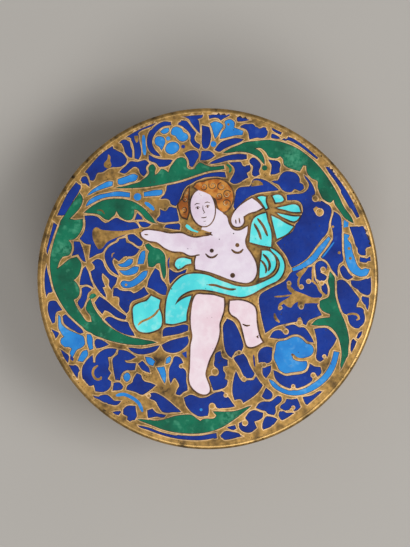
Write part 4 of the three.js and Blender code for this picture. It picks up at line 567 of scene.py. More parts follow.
      [23.9, -20], [24.8, -20.7], [26.2, -20.9], [26.4, -22], [25.8, -22.7], [25, -21.8],
      [24.1, -21.9], [24.1, -22.8], [24.3, -23.6], [23, -24.9], [20.9, -25.7], [20, -24.4],
      [19.2, -25.7], [17.4, -24.8], [16, -23.3]
    ],
    [
      [25.2, -11.9], [27.4, -11.6], [28.8, -12.5], [30, -14], [29.2, -15.5], [28.3, -16.7],
      [27.9, -18], [27.1, -17.2], [26.9, -18.8], [26.3, -19.2], [25.7, -18.8], [25.8, -16.6],
      [25.7, -14.2]
    ],
    [
      [34.2, -14.2], [34.9, -14.7], [34.4, -16], [33.6, -17.4], [33.4, -16.2], [33.7, -15]
    ],
    [
      [36.2, -12.2], [35.4, -12.6], [34.8, -13.9], [35.3, -14.1], [36, -13.2]
    ],
    [
      [12.6, -16.6], [13.8, -16.1], [14.9, -16.3], [14.9, -17.6], [14.6, -19.2], [13.8, -19.6],
      [12.8, -19.3], [12.1, -19.4], [12, -17.6]
    ],
    [
      [13, -21.1], [14.6, -20.6], [14.5, -21.6], [13.6, -23], [13.1, -22.4]
    ],
    [
      [13.7, -25.9], [14.9, -27], [14.8, -27.8], [13.8, -28.2], [12.9, -27.5]
    ],
    [
      [17, -27.8], [17.1, -28.4], [16.4, -29.2], [15.6, -29.9], [15.7, -31], [15.4, -31.9],
      [14.3, -31.7], [13.7, -30.9], [12.4, -30.6], [11.5, -30.2], [12.2, -29.3], [13.4, -28.9],
      [14.8, -28.9], [15.8, -28.2], [16.4, -27.7]
    ],
    [
      [18.6, -28.4], [19.8, -28.5], [20.8, -28.3], [21.2, -29.2], [21.5, -30], [20.9, -30.6],
      [20.3, -30.8], [20.1, -30], [19.4, -30], [18.6, -30.8], [17.9, -30.9], [17.1, -30.3],
      [17.3, -29.8], [18.2, -29.2]
    ],
    [
      [17, -31.1], [17.9, -31], [18.4, -31.5], [20, -31.6], [18.8, -32.5], [17.5, -33.2],
      [16.8, -32]
    ],
    [
      [22.5, -27.9], [24.5, -27.5], [26, -26.6], [27, -26.3], [25.6, -27.6], [23.3, -29.6],
      [22.9, -28.9]
    ],
    [
      [14, -32.3], [15.2, -32.5], [16, -33], [15.3, -34], [14.9, -34.6], [13, -35.4], [13, -34.2],
      [13.4, -33]
    ],
  ],
  "south": [
    [
      [9, -32.6], [10, -31.3], [11, -31], [12.7, -31.6], [12.6, -32.4], [11.4, -33.1],
      [10.6, -33.3], [10.9, -34.2], [11.2, -34.9], [10, -35.8], [8.5, -35.7], [7.6, -34.9],
      [7.5, -34], [8.3, -33.6], [8.4, -34.4], [9.2, -34.5], [9.6, -33.8], [9.3, -33]
    ],
    [
      [3.2, -36.8], [4, -36], [5.5, -35.8], [7, -36.4], [8.3, -36.9], [7, -37.2], [5, -37.7],
      [3.7, -37.7]
    ],
    [
      [4.8, -34.9], [6.2, -34.6], [6.4, -35.1], [5.9, -35.5], [5.2, -35.2]
    ],
    [
      [-16.5, -34.3], [-14, -34.8], [-11, -35.9], [-8, -36.6], [-5, -36.9], [-2, -37], [0, -36.7],
      [1.8, -36.4], [1.9, -37.2], [0.5, -37.6], [-2, -37.9], [-5, -37.8], [-8, -37.4],
      [-11, -36.6], [-14, -35.5], [-16.3, -34.6]
    ],
    [
      [-5.4, -28], [-4, -27.4], [-3, -27.7], [-2, -28.1], [-0.5, -28], [0.6, -27.5], [2, -26.8],
      [3.2, -26.4], [3.7, -26.9], [4, -27.7], [4.7, -28], [5.3, -28.9], [6, -29.8], [5, -30],
      [3.4, -30.1], [2.3, -30.1], [1.9, -29.4], [1.2, -28.9], [0.4, -29], [0, -29.8], [0, -31],
      [-0.2, -31.9], [-1.8, -32.1], [-3, -31.7], [-4, -30.8], [-4.9, -29.6]
    ],
    [
      [2, -17.6], [2.8, -17.2], [3.2, -18.6], [4.4, -19.2], [4.4, -20.2], [3.4, -20.4],
      [3.4, -21.6], [3.9, -22.4], [3.7, -23.5], [4.4, -24], [4.2, -24.9], [2.6, -25.9], [1.4, -26],
      [0.7, -24.4], [0.3, -23.2], [0.8, -22.9], [2, -23], [2.8, -22.2], [2.5, -21], [1.7, -20.3],
      [1.8, -19]
    ],
    [
      [3.8, -11], [4.6, -9.6], [5.8, -10.2], [6.8, -11.8], [7.6, -13.8], [8.1, -15.8],
      [7.7, -16.8], [6.4, -16.8], [5.8, -17.8], [5.6, -18.5], [4.5, -17.2], [4, -15.4], [3.8, -13]
    ],
    [
      [7, -18.2], [8.2, -17.8], [8.8, -18.5], [9.6, -20.4], [10.7, -22.3], [10.2, -23.1],
      [9.4, -23.2], [8.6, -22.6], [7.8, -21], [6.6, -19.2], [6.1, -18.6]
    ],
    [
      [6.6, -22], [7, -23], [7.7, -24], [8.7, -24.5], [9.4, -23.9], [10.8, -23.9], [11.3, -23.2],
      [12, -24.3], [12.6, -25], [12, -26], [10.8, -27.2], [9.4, -28.2], [8.4, -28.8], [8, -28.2],
      [7.2, -28], [6.4, -28.2], [6, -27], [6, -25], [6.3, -23.3]
    ],
    [
      [-10.4, -12.6], [-10.2, -11.9], [-8, -11.4], [-5.6, -10.9], [-4.8, -11.1], [-4.9, -12],
      [-6.5, -12.6], [-8.5, -13], [-10.4, -13.3]
    ],
    [
      [-10.6, -15.6], [-9, -14.8], [-7, -14.2], [-4.9, -13.7], [-4.7, -14.8], [-5.6, -16],
      [-7.2, -17], [-9, -17.1], [-10.1, -16.6]
    ],
    [
      [-7.9, -18.5], [-7.2, -18.4], [-6.4, -18.9], [-6.1, -19.6], [-6.9, -19.9], [-6.8, -20.8],
      [-5.6, -21.4], [-5.2, -22.5], [-5.3, -24], [-5, -25.4], [-5, -26], [-6, -26.5],
      [-6.6, -27.1], [-7.3, -26.9], [-7, -26], [-6.5, -25.2], [-6.8, -24.2], [-7.6, -23],
      [-8.2, -23.2], [-8.7, -24.2], [-8.9, -23], [-8.9, -21.5], [-8.4, -19.8]
    ],
    [
      [-14, -27.4], [-12.8, -26.9], [-11, -27.6], [-9.2, -28.9], [-7.6, -30.3], [-6.6, -31.1],
      [-8.4, -31.1], [-10.3, -31.2], [-11.3, -30], [-12.2, -28.5], [-13.3, -28]
    ],
    [
      [-14, -31], [-13.1, -30.7], [-12.2, -31.6], [-10, -32], [-10.4, -32.4], [-12, -32.1],
      [-13.9, -32.5]
    ],
  ],
  "south_west": [
    [
      [-26.5, -14.6], [-25.6, -14.2], [-23.6, -15.4], [-25, -15.9], [-26, -16.1], [-26.6, -15.3]
    ],
    [
      [-34.7, -16.4], [-33.4, -17.3], [-32.7, -18], [-32.6, -19], [-32.8, -19.8], [-33.6, -18.8]
    ],
    [
      [-32.7, -20.2], [-31.2, -20.4], [-30.5, -21], [-30.4, -22.4], [-30.6, -23.5], [-31.5, -22.2]
    ],
    [
      [-27.2, -18.2], [-28.4, -19.2], [-29.2, -20.8], [-29.3, -22.6], [-28.8, -24.1],
      [-27.8, -24.9], [-26.6, -24.6], [-26.2, -26.2], [-24.4, -26.3], [-23.1, -25.3],
      [-22.9, -24.2], [-23.8, -23.5], [-23, -22.1], [-23.6, -21.2], [-23.4, -20.3], [-23.7, -18.2],
      [-22.4, -17.9], [-21.6, -16.6], [-23.2, -16.5], [-25, -17.2], [-26.1, -18.5], [-26.2, -19.9],
      [-27.1, -19.8]
    ],
    [
      [-20.8, -16.8], [-19.2, -17.1], [-17.2, -18.3], [-18.6, -18.9], [-19.8, -18.9],
      [-19.4, -19.7], [-17.1, -20], [-17.3, -21.2], [-19.2, -21.5], [-20.4, -22.3], [-20.8, -23.6],
      [-21.5, -23.5], [-22, -20.8], [-22, -18.5], [-21, -17.9]
    ],
    [
      [-21.9, -24.6], [-20.8, -24.5], [-20.1, -25.3], [-20.3, -25.7], [-22.1, -26]
    ],
    [
      [-16.6, -22.4], [-15.9, -22.7], [-15.6, -23.6], [-14.8, -24.3], [-13.6, -24.6], [-12.6, -25],
      [-13.8, -26], [-14.8, -26.7], [-15.4, -27], [-16.8, -26.4], [-18.9, -25.8], [-18.7, -25.2],
      [-17.6, -24.5], [-17.2, -23.4]
    ],
    [
      [-16.1, -20], [-15.4, -19.5], [-14.2, -20.6], [-13.8, -21.8], [-15.2, -21.2]
    ],
    [
      [-18.4, -16.3], [-15.5, -16.6], [-13.2, -16.2], [-11.6, -15.8], [-12.4, -16.7],
      [-13.8, -17.3], [-16, -17.5], [-17.3, -17.1]
    ],
    [
      [-27, -27.3], [-25.6, -27.6], [-23.8, -27.4], [-22.9, -28], [-22, -28.8], [-20.7, -28.8],
      [-21.4, -29.4], [-23, -29.2], [-24.4, -29], [-25.6, -28.3], [-26.6, -27.9]
    ],
    [
      [-18.8, -30], [-17.2, -30], [-17.1, -31], [-16.9, -32.2], [-17.4, -33], [-18.3, -33.5],
      [-19, -33], [-18.8, -32], [-19.8, -31.6], [-19.8, -31]
    ],
    [
      [-22.4, -31.2], [-21, -31], [-20.4, -31.3], [-20.9, -32], [-21.8, -31.8]
    ],
  ],
}

giltAreas = {
  "leaf_tip": [
    [-24.2, 26.2], [-24.4, 27], [-23.6, 28], [-23.4, 29.2], [-22.9, 28.8], [-22.9, 27.6],
    [-22.6, 26.6], [-23.2, 25.8]
  ],
  "wedge": [
    [-17.3, 33.5], [-16.3, 33.6], [-16.4, 32.1], [-16.8, 31.9], [-17.2, 32.8]
  ],
  "curl_patch": [
    [10.2, 22.6], [12.6, 22.6], [13, 22], [11.4, 21.8], [10.2, 21.6]
  ],
  "trumpet": [
    [-26.9, 11.6], [-26.1, 12.1], [-25.2, 11.6], [-23, 11.3], [-19.5, 11.3], [-15.5, 12],
    [-15.4, 11], [-18.5, 10.6], [-21.3, 9.7], [-23.6, 8.6], [-25, 7], [-25.7, 6.9], [-26.6, 8.4],
    [-27.1, 10]
  ],
  "branch_leaf": [
    [26.2, -4.4], [24.6, -4.4], [22.6, -3.6], [20.4, -2.7], [19.4, -1.8], [19.7, -1], [19, -0.7],
    [18.5, -1.4], [18.8, -2.6], [19.7, -3.4], [18.9, -4.4], [17.7, -5.1], [16.6, -6], [16.4, -7.2],
    [16.9, -7.5], [17.1, -6.4], [17.8, -5.8], [18.6, -6.5], [19.5, -6.8], [20.2, -5.9],
    [21.1, -5.4], [21.1, -6.5], [21.8, -7], [22.5, -6.6], [22.7, -5.8], [24.4, -5.7], [26, -5.8]
  ],
  "tendril_patch": [
    [20.6, 1.2], [22, 2.1], [23.6, 2.8], [22.8, 1.6], [21.6, 0.2], [21, 0.6]
  ],
  "node_patch": [
    [21, -9.9], [21.1, -9.2], [21.7, -9], [22.1, -9.7], [22.2, -10.5], [21, -10.4]
  ],
  "star_patch_upper": [
    [24.3, 19.4], [25.2, 18.6], [26.5, 18], [25.8, 19.2], [25, 19.9]
  ],
  "star_patch_lower": [
    [24.7, 16.4], [25.4, 17], [26.5, 16.2], [26.2, 15.2], [25.2, 15.4]
  ],
}

giltLines = {
  "upper_left_stem": ([[-24.8, 23.4], [-23.2, 24.4], [-21.3, 25.8]], 0.3),
  "curl_top": ([[10.5, 22.9], [11.8, 22.8], [12.8, 22.3]], 0.5),
  "tulip_curl": ([[-22.5, 5], [-22.4, 5.8], [-21.9, 6.1]], 0.35),
  "leaf_slit": ([[-26, 16.1], [-24.9, 16], [-24.2, 15.2]], 0.35),
  "east_curl": ([[28.2, 3.2], [28, 2.2], [27.2, 1.9], [26.6, 2.2], [26.8, 2.8]], 0.4),
  "tendril": ([[22.6, 2.6], [21.9, 1], [21.2, -0.5], [21.3, -1.7], [22, -2]], 0.5),
  "stem_east": ([[24.6, 2.8], [24.6, 1], [24.7, -0.6], [25.6, -1.4], [26.4, -3], [27.6, -3.8]], 0.5),
  "twig_left": ([[25.2, -0.8], [24.2, -0.5], [23.5, -0.8]], 0.5),
  "twig_right": ([[25.6, -1.2], [26.6, -0.7], [26.9, -1.4]], 0.4),
  "streak": ([[15.6, -4.2], [17.5, -4.1], [19.5, -3.8]], 0.4),
  "hook": ([[15.6, -8.1], [15.9, -9.3], [16.8, -10.2]], 0.7),
  "fish_hook": ([[36, 2.9], [36.6, 3.3], [37.2, 2.8]], 0.4),
  "spiral_east": ([[32.6, -8.4], [34, -8.2], [35.2, -8.6], [35.4, -9.4], [34.8, -9.7]], 0.5),
  "flower_stem": ([[24.6, -18.6], [22.5, -18.9], [20.6, -18.5], [20.1, -17.8]], 0.5),
  "drape_stroke": ([[-16.4, -10.9], [-15.6, -10.1], [-14, -9.4], [-12.6, -8.5], [-11.4, -7]], 0.5),
  "spiral_west": (
    [[-25.8, -20.3], [-26.8, -21.2], [-26.9, -22.6], [-26, -23.6], [-25.1, -23.4], [-25, -22.9]],
    0.6,
  ),
}

skyLines = {
  "stem_north": ([[-15.1, 33.7], [-15, 31.5], [-14.8, 29]], 0.85),
  "stem_short": ([[-14.8, 17.9], [-13.6, 17.1], [-12.6, 16.1]], 0.9),
  "ribbon_thin": ([[26.8, 5], [28, 6.5], [29.6, 8.6]], 0.35),
  "stem_south_west": (
    [[-21.6, -27.4], [-19.8, -27.1], [-17.8, -27.9], [-16.2, -29.2], [-15.3, -31.2]],
    0.8,
  ),
}

cobaltLines = {
  "drape_gap": ([[-9, 5], [-9.3, 4], [-9.1, 2.4]], 0.35),
  "ankle_gap": ([[10.7, -17.8], [10.8, -19], [11, -20.6]], 0.4),
}

leafLines = {
  "curl_bud": ([[4.3, 26.8], [5.1, 26.3], [5.3, 25.4], [5, 24.9]], 0.65),
}

darkLines = {
  "drape_fold": ([[0.1, -1.4], [1.6, -1.5], [3.6, -2.1], [5.4, -2.5], [6.6, -2.4]], 0.4),
  "hip_fold": ([[12.9, 5.8], [14, 4.6], [14.5, 3.2], [14.2, 1.8]], 0.45),
  "hip_fold_inner": ([[12.4, 4.4], [13.3, 3.3], [13.7, 2], [13.5, 1.3]], 0.4),
  "shoulder_fold": ([[11.6, 14.2], [13, 12.3], [14, 10]], 0.45),
  "shoulder_fold_inner": ([[10.8, 13], [11.9, 11], [12.5, 9.2]], 0.45),
  "finger": ([[-14.9, 10.4], [-14, 10.3]], 0.3),
  "armpit": ([[-2.9, 5.5], [-1.9, 5.6]], 0.35),
  "chest_left": ([[-0.6, 5.9], [0.3, 5.1], [1.4, 5.1], [2.3, 5.8]], 0.35),
  "chest_right": ([[5.5, 6.9], [6.4, 6.2], [7.5, 6.2], [8.3, 7]], 0.4),
  "neck_crease": ([[-0.7, 10.7], [0.3, 10.5], [1.1, 10.2]], 0.35),
  "knee": ([[8.1, -10.6], [9, -11], [9.9, -10.9]], 0.3),
  "ankle": ([[11.9, -13.3], [11.5, -13.6], [11.9, -13.9]], 0.3),
  "finger_upper": ([[6.5, 13.9], [6.6, 12.9]], 0.3),
  "finger_lower": ([[7.3, 14.3], [7.5, 13]], 0.3),
}

# Small cells inside or beside the large ones
smallCells = {
    "cobalt": {
        "bud_gap": [[-6.1, -17.4], [-5, -17], [-5, -18.6], [-5.6, -18.2]],
        "west_gap": [[-32.3, -18], [-31.5, -18.6], [-31.6, -19.3], [-32.2, -18.9]],
    },
    "leaf": {
        "west_bud": [[-27.9, -4.4], [-27.4, -3.6], [-26.5, -3.5], [-26.1, -4], [-26.7, -4.5], [-27.6, -4.7]],
    },
    "sky": {
        "fish_tip": [[31.9, 13.8], [33, 13.2], [32.9, 12.2], [31.8, 12]],
    },
    "sea": {
        "collar": [
            [-5.3, 12.4], [-5, 12.8], [-4.5, 12.6], [-3.6, 11.7], [-2.2, 11.1], [-2.4, 10.8], [-4, 11.3],
            [-5, 11.9],
        ],
    },
}

# Dots as x, y and radius
dots = {
    "cobalt": [(-5.8, 31, 0.45)],
    "leaf": [(13.3, 26, 0.65)],
    "sky": [(-16.5, 19.2, 0.9), (-9.3, 32.9, 0.5), (1.3, 31.6, 0.7), (-1.6, -30.7, 0.35)],
    "gilt": [
        (-19.2, -1.4, 0.3), (4.8, 36.2, 0.3), (33.1, 7.1, 0.35), (33.4, 4.8, 0.35), (33.1, 9.4, 0.3),
        (30.8, 6.1, 0.35), (29.3, 12.2, 0.3),
    ],
    "outline": [(0.9, 6.6, 0.5), (6.9, 7.9, 0.5), (5.8, 0.8, 0.6), (19.8, -17.8, 0.3)],
}

# Round ends of the gilt scrolls, as x, y and radius
knobs = [
    (18.3, -12.4, 0.7), (21.5, -10.3, 0.75), (24.7, -22.6, 0.65), (13.2, -20.2, 0.65), (27.3, -18.2, 0.5),
    (8.7, -33.8, 0.75), (20, -25.2, 0.5), (1.6, -21.8, 0.9), (-13.9, -27.4, 0.55), (1, -29.9, 0.8),
    (7.3, -17.3, 0.6), (8.4, -23.5, 0.65), (4.2, -27.3, 0.55), (-6.3, -20.5, 0.5), (21.9, -1.9, 0.6),
    (19, -1, 0.55), (23.6, -0.6, 0.6), (26.7, -1, 0.6), (27, 2.2, 0.65), (17, -6.8, 0.5), (21.9, -6.6, 0.6),
    (26.2, 15.6, 1), (25.2, 18.8, 0.8), (20, -30.2, 0.5),
]

# The head is a plain tilted oval with a calm, evenly spaced face, drawn in the oval's own axes
headOval = {"centre": (-1.2, 16.6), "halfWidth": 2.8, "halfHeight": 4.3, "tilt": 8, "sides": 16}
faceLines = [
    ([[-1.85, 0.95], [-1.25, 1.25], [-0.55, 1.05]], 0.24),
    ([[0.55, 1.05], [1.25, 1.25], [1.85, 0.95]], 0.24),
    ([[-1.75, 0.2], [-1.2, 0.48], [-0.6, 0.2]], 0.22),
    ([[0.6, 0.2], [1.2, 0.48], [1.75, 0.2]], 0.22),
    ([[0.1, 0.6], [0.02, -0.5], [0.32, -1.1], [-0.12, -1.28]], 0.2),
    ([[-0.65, -2.15], [-0.2, -2.28], [0.2, -2.28], [0.65, -2.15]], 0.26),
    ([[-0.3, -3.1], [0, -3.18], [0.3, -3.1]], 0.18),
]
faceDots = [(-1.18, 0.1, 0.24), (1.18, 0.1, 0.24)]
neckPatch = [[1.3, 17], [3.6, 15.4], [3, 12.5], [1, 11], [-1.6, 11.6], [-0.8, 13]]

# Curls in the hair as x, y, radius and the angle that they start at, in degrees
hairCurls = [
    (-0.9, 21.6, 0.9, 200), (1.1, 21.9, 1, 150), (3.2, 21.6, 1.1, 90), (4.5, 19.8, 1.1, 30),
    (4.3, 17.7, 1.1, -40), (2.6, 19.4, 0.9, 240), (-5.3, 18.6, 0.75, 100), (-5.6, 16.2, 0.75, 250),
    (-5, 20.2, 0.5, 60),
]

# What the frame gives: radii and heights
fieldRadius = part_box("gilt_cellwork")[1].x
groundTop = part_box("gilt_cellwork")[0].z
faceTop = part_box("gilt_cellwork")[1].z
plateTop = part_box("enamel_ground")[0].z


def linear(colour):
    return tuple(c / 3295 if c < 11 else ((c / 255 + 0.055) / 1.055) ** 2.4 for c in colour) + (1,)


def newMaterial(name):
    material = bpy.data.materials.new(name)
    material.use_nodes = True
    tree = material.node_tree
    coordinates = tree.nodes.new("ShaderNodeTexCoord").outputs["Object"]
    return material, tree, tree.nodes["Principled BSDF"], coordinates


def noiseOf(tree, coordinates, size, detail=3, start=0):  # size of the patches in metres
    noise = tree.nodes.new("ShaderNodeTexNoise")
    noise.noise_dimensions = "4D"
    noise.inputs["Scale"].default_value = 1 / size
    noise.inputs["Detail"].default_value = detail
    noise.inputs["W"].default_value = start
    tree.links.new(coordinates, noise.inputs["Vector"])
    return noise.outputs["Fac"]


def ranged(tree, value, low, high, toLow=0, toHigh=1):
    node = tree.nodes.new("ShaderNodeMapRange")
    node.inputs["From Min"].default_value = low
    node.inputs["From Max"].default_value = high
    node.inputs["To Min"].default_value = toLow
    node.inputs["To Max"].default_value = toHigh
    tree.links.new(value, node.inputs["Value"])
    return node.outputs["Result"]


def mathOf(tree, operation, first, second):
    node = tree.nodes.new("ShaderNodeMath")
    node.operation = operation
    for socket, value in zip(node.inputs, (first, second)):
        if isinstance(value, (int, float)):
            socket.default_value = value
        else:
            tree.links.new(value, socket)
    return node.outputs["Value"]


def blended(tree, factor, first, second):
    node = tree.nodes.new("ShaderNodeMix")
    node.data_type = "RGBA"
    tree.links.new(factor, node.inputs["Factor"])
    for socket, colour in ((node.inputs[6], first), (node.inputs[7], second)):
        if isinstance(colour, tuple):
            socket.default_value = linear(colour)
        else:
            tree.links.new(colour, socket)
    return node.outputs[2]


def bump(tree, shader, height, distance, strength=1):
    node = tree.nodes.new("ShaderNodeBump")
    node.inputs["Distance"].default_value = distance
    node.inputs["Strength"].default_value = strength
    tree.links.new(height, node.inputs["Height"])
    tree.links.new(node.outputs["Normal"], shader.inputs["Normal"])


# Soft round places, given as x, y and radius in millimetres, broken up at their edges by noise
def placesMask(tree, coordinates, places, breakUp):
    flat = tree.nodes.new("ShaderNodeVectorMath")
    flat.operation = "MULTIPLY"
    flat.inputs[1].default_value = (1, 1, 0)
    tree.links.new(coordinates, flat.inputs[0])
    total = None
    for x, y, radius in places:
        distance = tree.nodes.new("ShaderNodeVectorMath")
        distance.operation = "DISTANCE"
        distance.inputs[1].default_value = (x * mm, y * mm, 0)
        tree.links.new(flat.outputs["Vector"], distance.inputs[0])
        mask = ranged(tree, distance.outputs["Value"], radius * mm, radius * mm * 0.2)
        total = mask if total is None else mathOf(tree, "MAXIMUM", total, mask)
    return mathOf(tree, "MULTIPLY", total, breakUp)


metals = {
    "worn bronze": {
        "light": (158, 122, 72), "dark": (104, 78, 46), "stain": (60, 46, 34),
        "roughness": (0.34, 0.56), "stained": (0.6, 0.76), "pitSize": 0.0011, "grain": 0.00002,
        "places": [],
    },
    "worn gilt": {
        "light": (190, 154, 96), "dark": (130, 104, 62), "stain": (56, 46, 34),
        "roughness": (0.3, 0.5), "stained": (0.56, 0.7), "pitSize": 0.0009, "grain": 0.000012,
        "places": [
            (11.5, -37, 1.6), (-24, -31, 1.8), (23, -30.5, 1.8), (1.8, 39.5, 1.6), (-38.3, 17.6, 1.2),
            (-35.7, 16.5, 1), (-31.6, 23.9, 1.3), (-28.1, 27.7, 1.2), (-25, 31.2, 1.4), (-21.7, 33.2, 1.2),
            (-19.1, 35.1, 1), (-12.6, 37.5, 1.3), (-8.4, 39, 1), (-33.6, 20.6, 0.9), (-15.8, 36.4, 0.8),
        ],
    },
    "gilt line": {
        "light": (184, 144, 82), "dark": (118, 94, 56), "stain": (66, 54, 42),
        "roughness": (0.32, 0.5), "stained": (0.54, 0.7), "pitSize": 0.0006, "grain": 0.00001,
        "places": [(-27, 25.5, 4), (-10, 16.5, 3), (22, 9, 3), (3, -17, 3), (-10, -26, 3), (-10, -33, 3)],
    },
    # The next metal is a painted highlight: brighter, pinker gilt that stands for the light caught on the
    # rounded tops of the gilt walls
    "gilt edge": {
        "light": (226, 190, 144), "dark": (180, 148, 106), "stain": (108, 88, 64),
        "roughness": (0.28, 0.44), "stained": (0.56, 0.72), "pitSize": 0.0006, "grain": 0.000008,
        "places": [(-27, 25.5, 4), (-10, 16.5, 3), (22, 9, 3), (3, -17, 3), (-10, -26, 3), (-10, -33, 3)],
    },
}


def metal(name):
    looks = metals[name]
    material, tree, shader, coordinates = newMaterial(name)
    broad = noiseOf(tree, coordinates, 0.009, 4)
    fine = noiseOf(tree, coordinates, 0.0009, 4, 3)
    tone = ranged(tree, mathOf(tree, "ADD", broad, mathOf(tree, "MULTIPLY", fine, 0.8)), 0.68, 1.1)
    colour = blended(tree, tone, looks["dark"], looks["light"])
    stain = ranged(tree, noiseOf(tree, coordinates, 0.0035, 6, 7), *looks["stained"])
    if looks["places"]:
        broken = ranged(tree, fine, 0.35, 0.6)
        stain = mathOf(tree, "MAXIMUM", stain, placesMask(tree, coordinates, looks["places"], broken))
    colour = blended(tree, stain, colour, looks["stain"])
    pits = tree.nodes.new("ShaderNodeTexVoronoi")
    pits.inputs["Scale"].default_value = 1 / looks["pitSize"]
    tree.links.new(coordinates, pits.inputs["Vector"])
    chosen = ranged(tree, noiseOf(tree, coordinates, 0.004, 3, 11), 0.52, 0.6)
    pit = mathOf(tree, "MULTIPLY", ranged(tree, pits.outputs["Distance"], 0.3, 0.12), chosen)
    colour = blended(tree, pit, colour, looks["stain"])
    tree.links.new(colour, shader.inputs["Base Color"])
    shader.inputs["Metallic"].default_value = 1
    wear = mathOf(tree, "MAXIMUM", stain, ranged(tree, fine, 0.3, 0.7, 0, 0.7))
    tree.links.new(ranged(tree, wear, 0, 1, *looks["roughness"]), shader.inputs["Roughness"])
    height = mathOf(tree, "SUBTRACT", mathOf(tree, "MULTIPLY", fine, 0.4), pit)
    bump(tree, shader, height, looks["grain"])
    return material


enamels = {
    "cobalt": {"main": (4, 52, 148), "deep": (2, 34, 116), "pale": (52, 90, 172), "milky": (0.64, 0.8)},
    "leaf": {
        "main": (0, 114, 82), "deep": (0, 78, 56), "pale": (90, 178, 140), "milky": (0.6, 0.74),
        "places": [(20, 28, 4), (-34, 7, 3), (5, -32.5, 3), (-20, 25, 4)],
    },
    "sky": {"main": (44, 144, 220), "deep": (24, 112, 196), "pale": (128, 190, 232), "milky": (0.6, 0.76)},
    "sea": {"main": (96, 232, 232), "deep": (72, 212, 220), "pale": (190, 246, 242), "milky": (0.56, 0.74)},
    "skin": {"main": (232, 218, 232), "deep": (222, 200, 218), "pale": (242, 234, 242), "milky": (0.5, 0.7)},
    "rose": {"main": (240, 220, 228), "deep": (236, 206, 216), "pale": (248, 236, 240), "milky": (0.5, 0.7)},
    "hair": {"main": (192, 108, 34), "deep": (118, 62, 20), "pale": (230, 168, 80), "milky": (0.5, 0.6)},
    "outline": {"main": (86, 58, 34), "deep": (44, 30, 20), "pale": (150, 106, 62), "milky": (0.5, 0.64)},
    "seam": {"main": (38, 32, 34), "deep": (22, 20, 24), "pale": (104, 78, 52), "milky": (0.52, 0.64)},
}


def enamel(name):
    looks = enamels[name]
    material, tree, shader, coordinates = newMaterial(name + " enamel")
    clouds = noiseOf(tree, coordinates, 0.005, 4)
    fine = noiseOf(tree, coordinates, 0.0007, 3, 5)
    colour = blended(tree, ranged(tree, clouds, 0.3, 0.6), looks["deep"], looks["main"])
    broadPart = mathOf(tree, "MULTIPLY", clouds, 0.3)
    finePart = mathOf(tree, "MULTIPLY", noiseOf(tree, coordinates, 0.0016, 5, 9), 0.8)
    milky = ranged(tree, mathOf(tree, "ADD", broadPart, finePart), *looks["milky"])
    if "places" in looks:
        broken = ranged(tree, fine, 0.4, 0.6)
        milky = mathOf(tree, "MAXIMUM", milky, placesMask(tree, coordinates, looks["places"], broken))
    colour = blended(tree, mathOf(tree, "MULTIPLY", milky, 0.5), colour, looks["pale"])
    pits = tree.nodes.new("ShaderNodeTexVoronoi")
    pits.inputs["Scale"].default_value = 1100
    tree.links.new(coordinates, pits.inputs["Vector"])
    chosen = ranged(tree, noiseOf(tree, coordinates, 0.002, 2, 13), 0.6, 0.66)
    pit = mathOf(tree, "MULTIPLY", ranged(tree, pits.outputs["Distance"], 0.24, 0.1), chosen)
    colour = blended(tree, pit, colour, (58, 48, 44))
    tree.links.new(colour, shader.inputs["Base Color"])
    tree.links.new(ranged(tree, fine, 0.3, 0.7, 0.22, 0.42), shader.inputs["Roughness"])
    shader.inputs["Specular IOR Level"].default_value = 0.2
    shader.inputs["Coat Weight"].default_value = 0.06
    shader.inputs["Coat Roughness"].default_value = 0.1
    height = mathOf(tree, "SUBTRACT", mathOf(tree, "ADD", clouds, mathOf(tree, "MULTIPLY", fine, 0.15)), pit)
    bump(tree, shader, height, 0.00002)
    return material


materials = {name: enamel(name) for name in enamels}
# The second metal here is the painted highlight on the edges of the gilt walls
materials.update({"gilt": metal("gilt line"), "edge_painted_highlight": metal("gilt edge")})
bronze = metal("worn bronze")
gilt = metal("worn gilt")
print("materials made")


# A piece turned on the Z axis, shaped loop by loop from a circle. The profile is [radius, height] in metres.
# It closes on itself, or else its two ends close on the axis.
def turnedPiece(name, profile, body, material, closed=True, rounded=0.00012):
    radius, height = profile[0]
    bpy.ops.object.select_all(action="DESELECT")
    bpy.ops.mesh.primitive_circle_add(vertices=192, radius=radius, location=(0, 0, height))
    piece = bpy.context.object
    piece.name = name
    bpy.ops.object.mode_set(mode="EDIT")
    bpy.ops.mesh.select_all(action="SELECT")
    for nextRadius, nextHeight in profile[1:]:
        bpy.ops.mesh.extrude_region_move(TRANSFORM_OT_translate={"value": (0, 0, nextHeight - height)})
        scale = nextRadius / radius
        bpy.ops.transform.resize(value=(scale, scale, 1), center_override=(0, 0, nextHeight))
        radius, height = nextRadius, nextHeight
    bpy.ops.mesh.select_mode(type="VERT")
    if not closed:
        bpy.ops.mesh.merge(type="CENTER")
    bpy.ops.mesh.select_all(action="DESELECT")
    bpy.ops.mesh.select_non_manifold()
    if closed:
        bpy.ops.mesh.bridge_edge_loops()
    else:
        bpy.ops.mesh.merge(type="CENTER")
    bpy.ops.mesh.select_all(action="SELECT")
    bpy.ops.mesh.normals_make_consistent(inside=False)
    bpy.ops.object.mode_set(mode="OBJECT")
    bpy.ops.object.transform_apply(location=True, rotation=False, scale=False)
    rounding = piece.modifiers.new("rounding", "BEVEL")
    rounding.width = rounded
    rounding.segments = 2
    rounding.limit_method = "ANGLE"
    rounding.angle_limit = math.radians(25)
    bpy.ops.object.modifier_apply(modifier=rounding.name)
    bpy.ops.object.shade_smooth_by_angle(angle=math.radians(35))
    piece.data.materials.clear()
    piece.data.materials.append(material)
    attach(piece, body)
    return piece


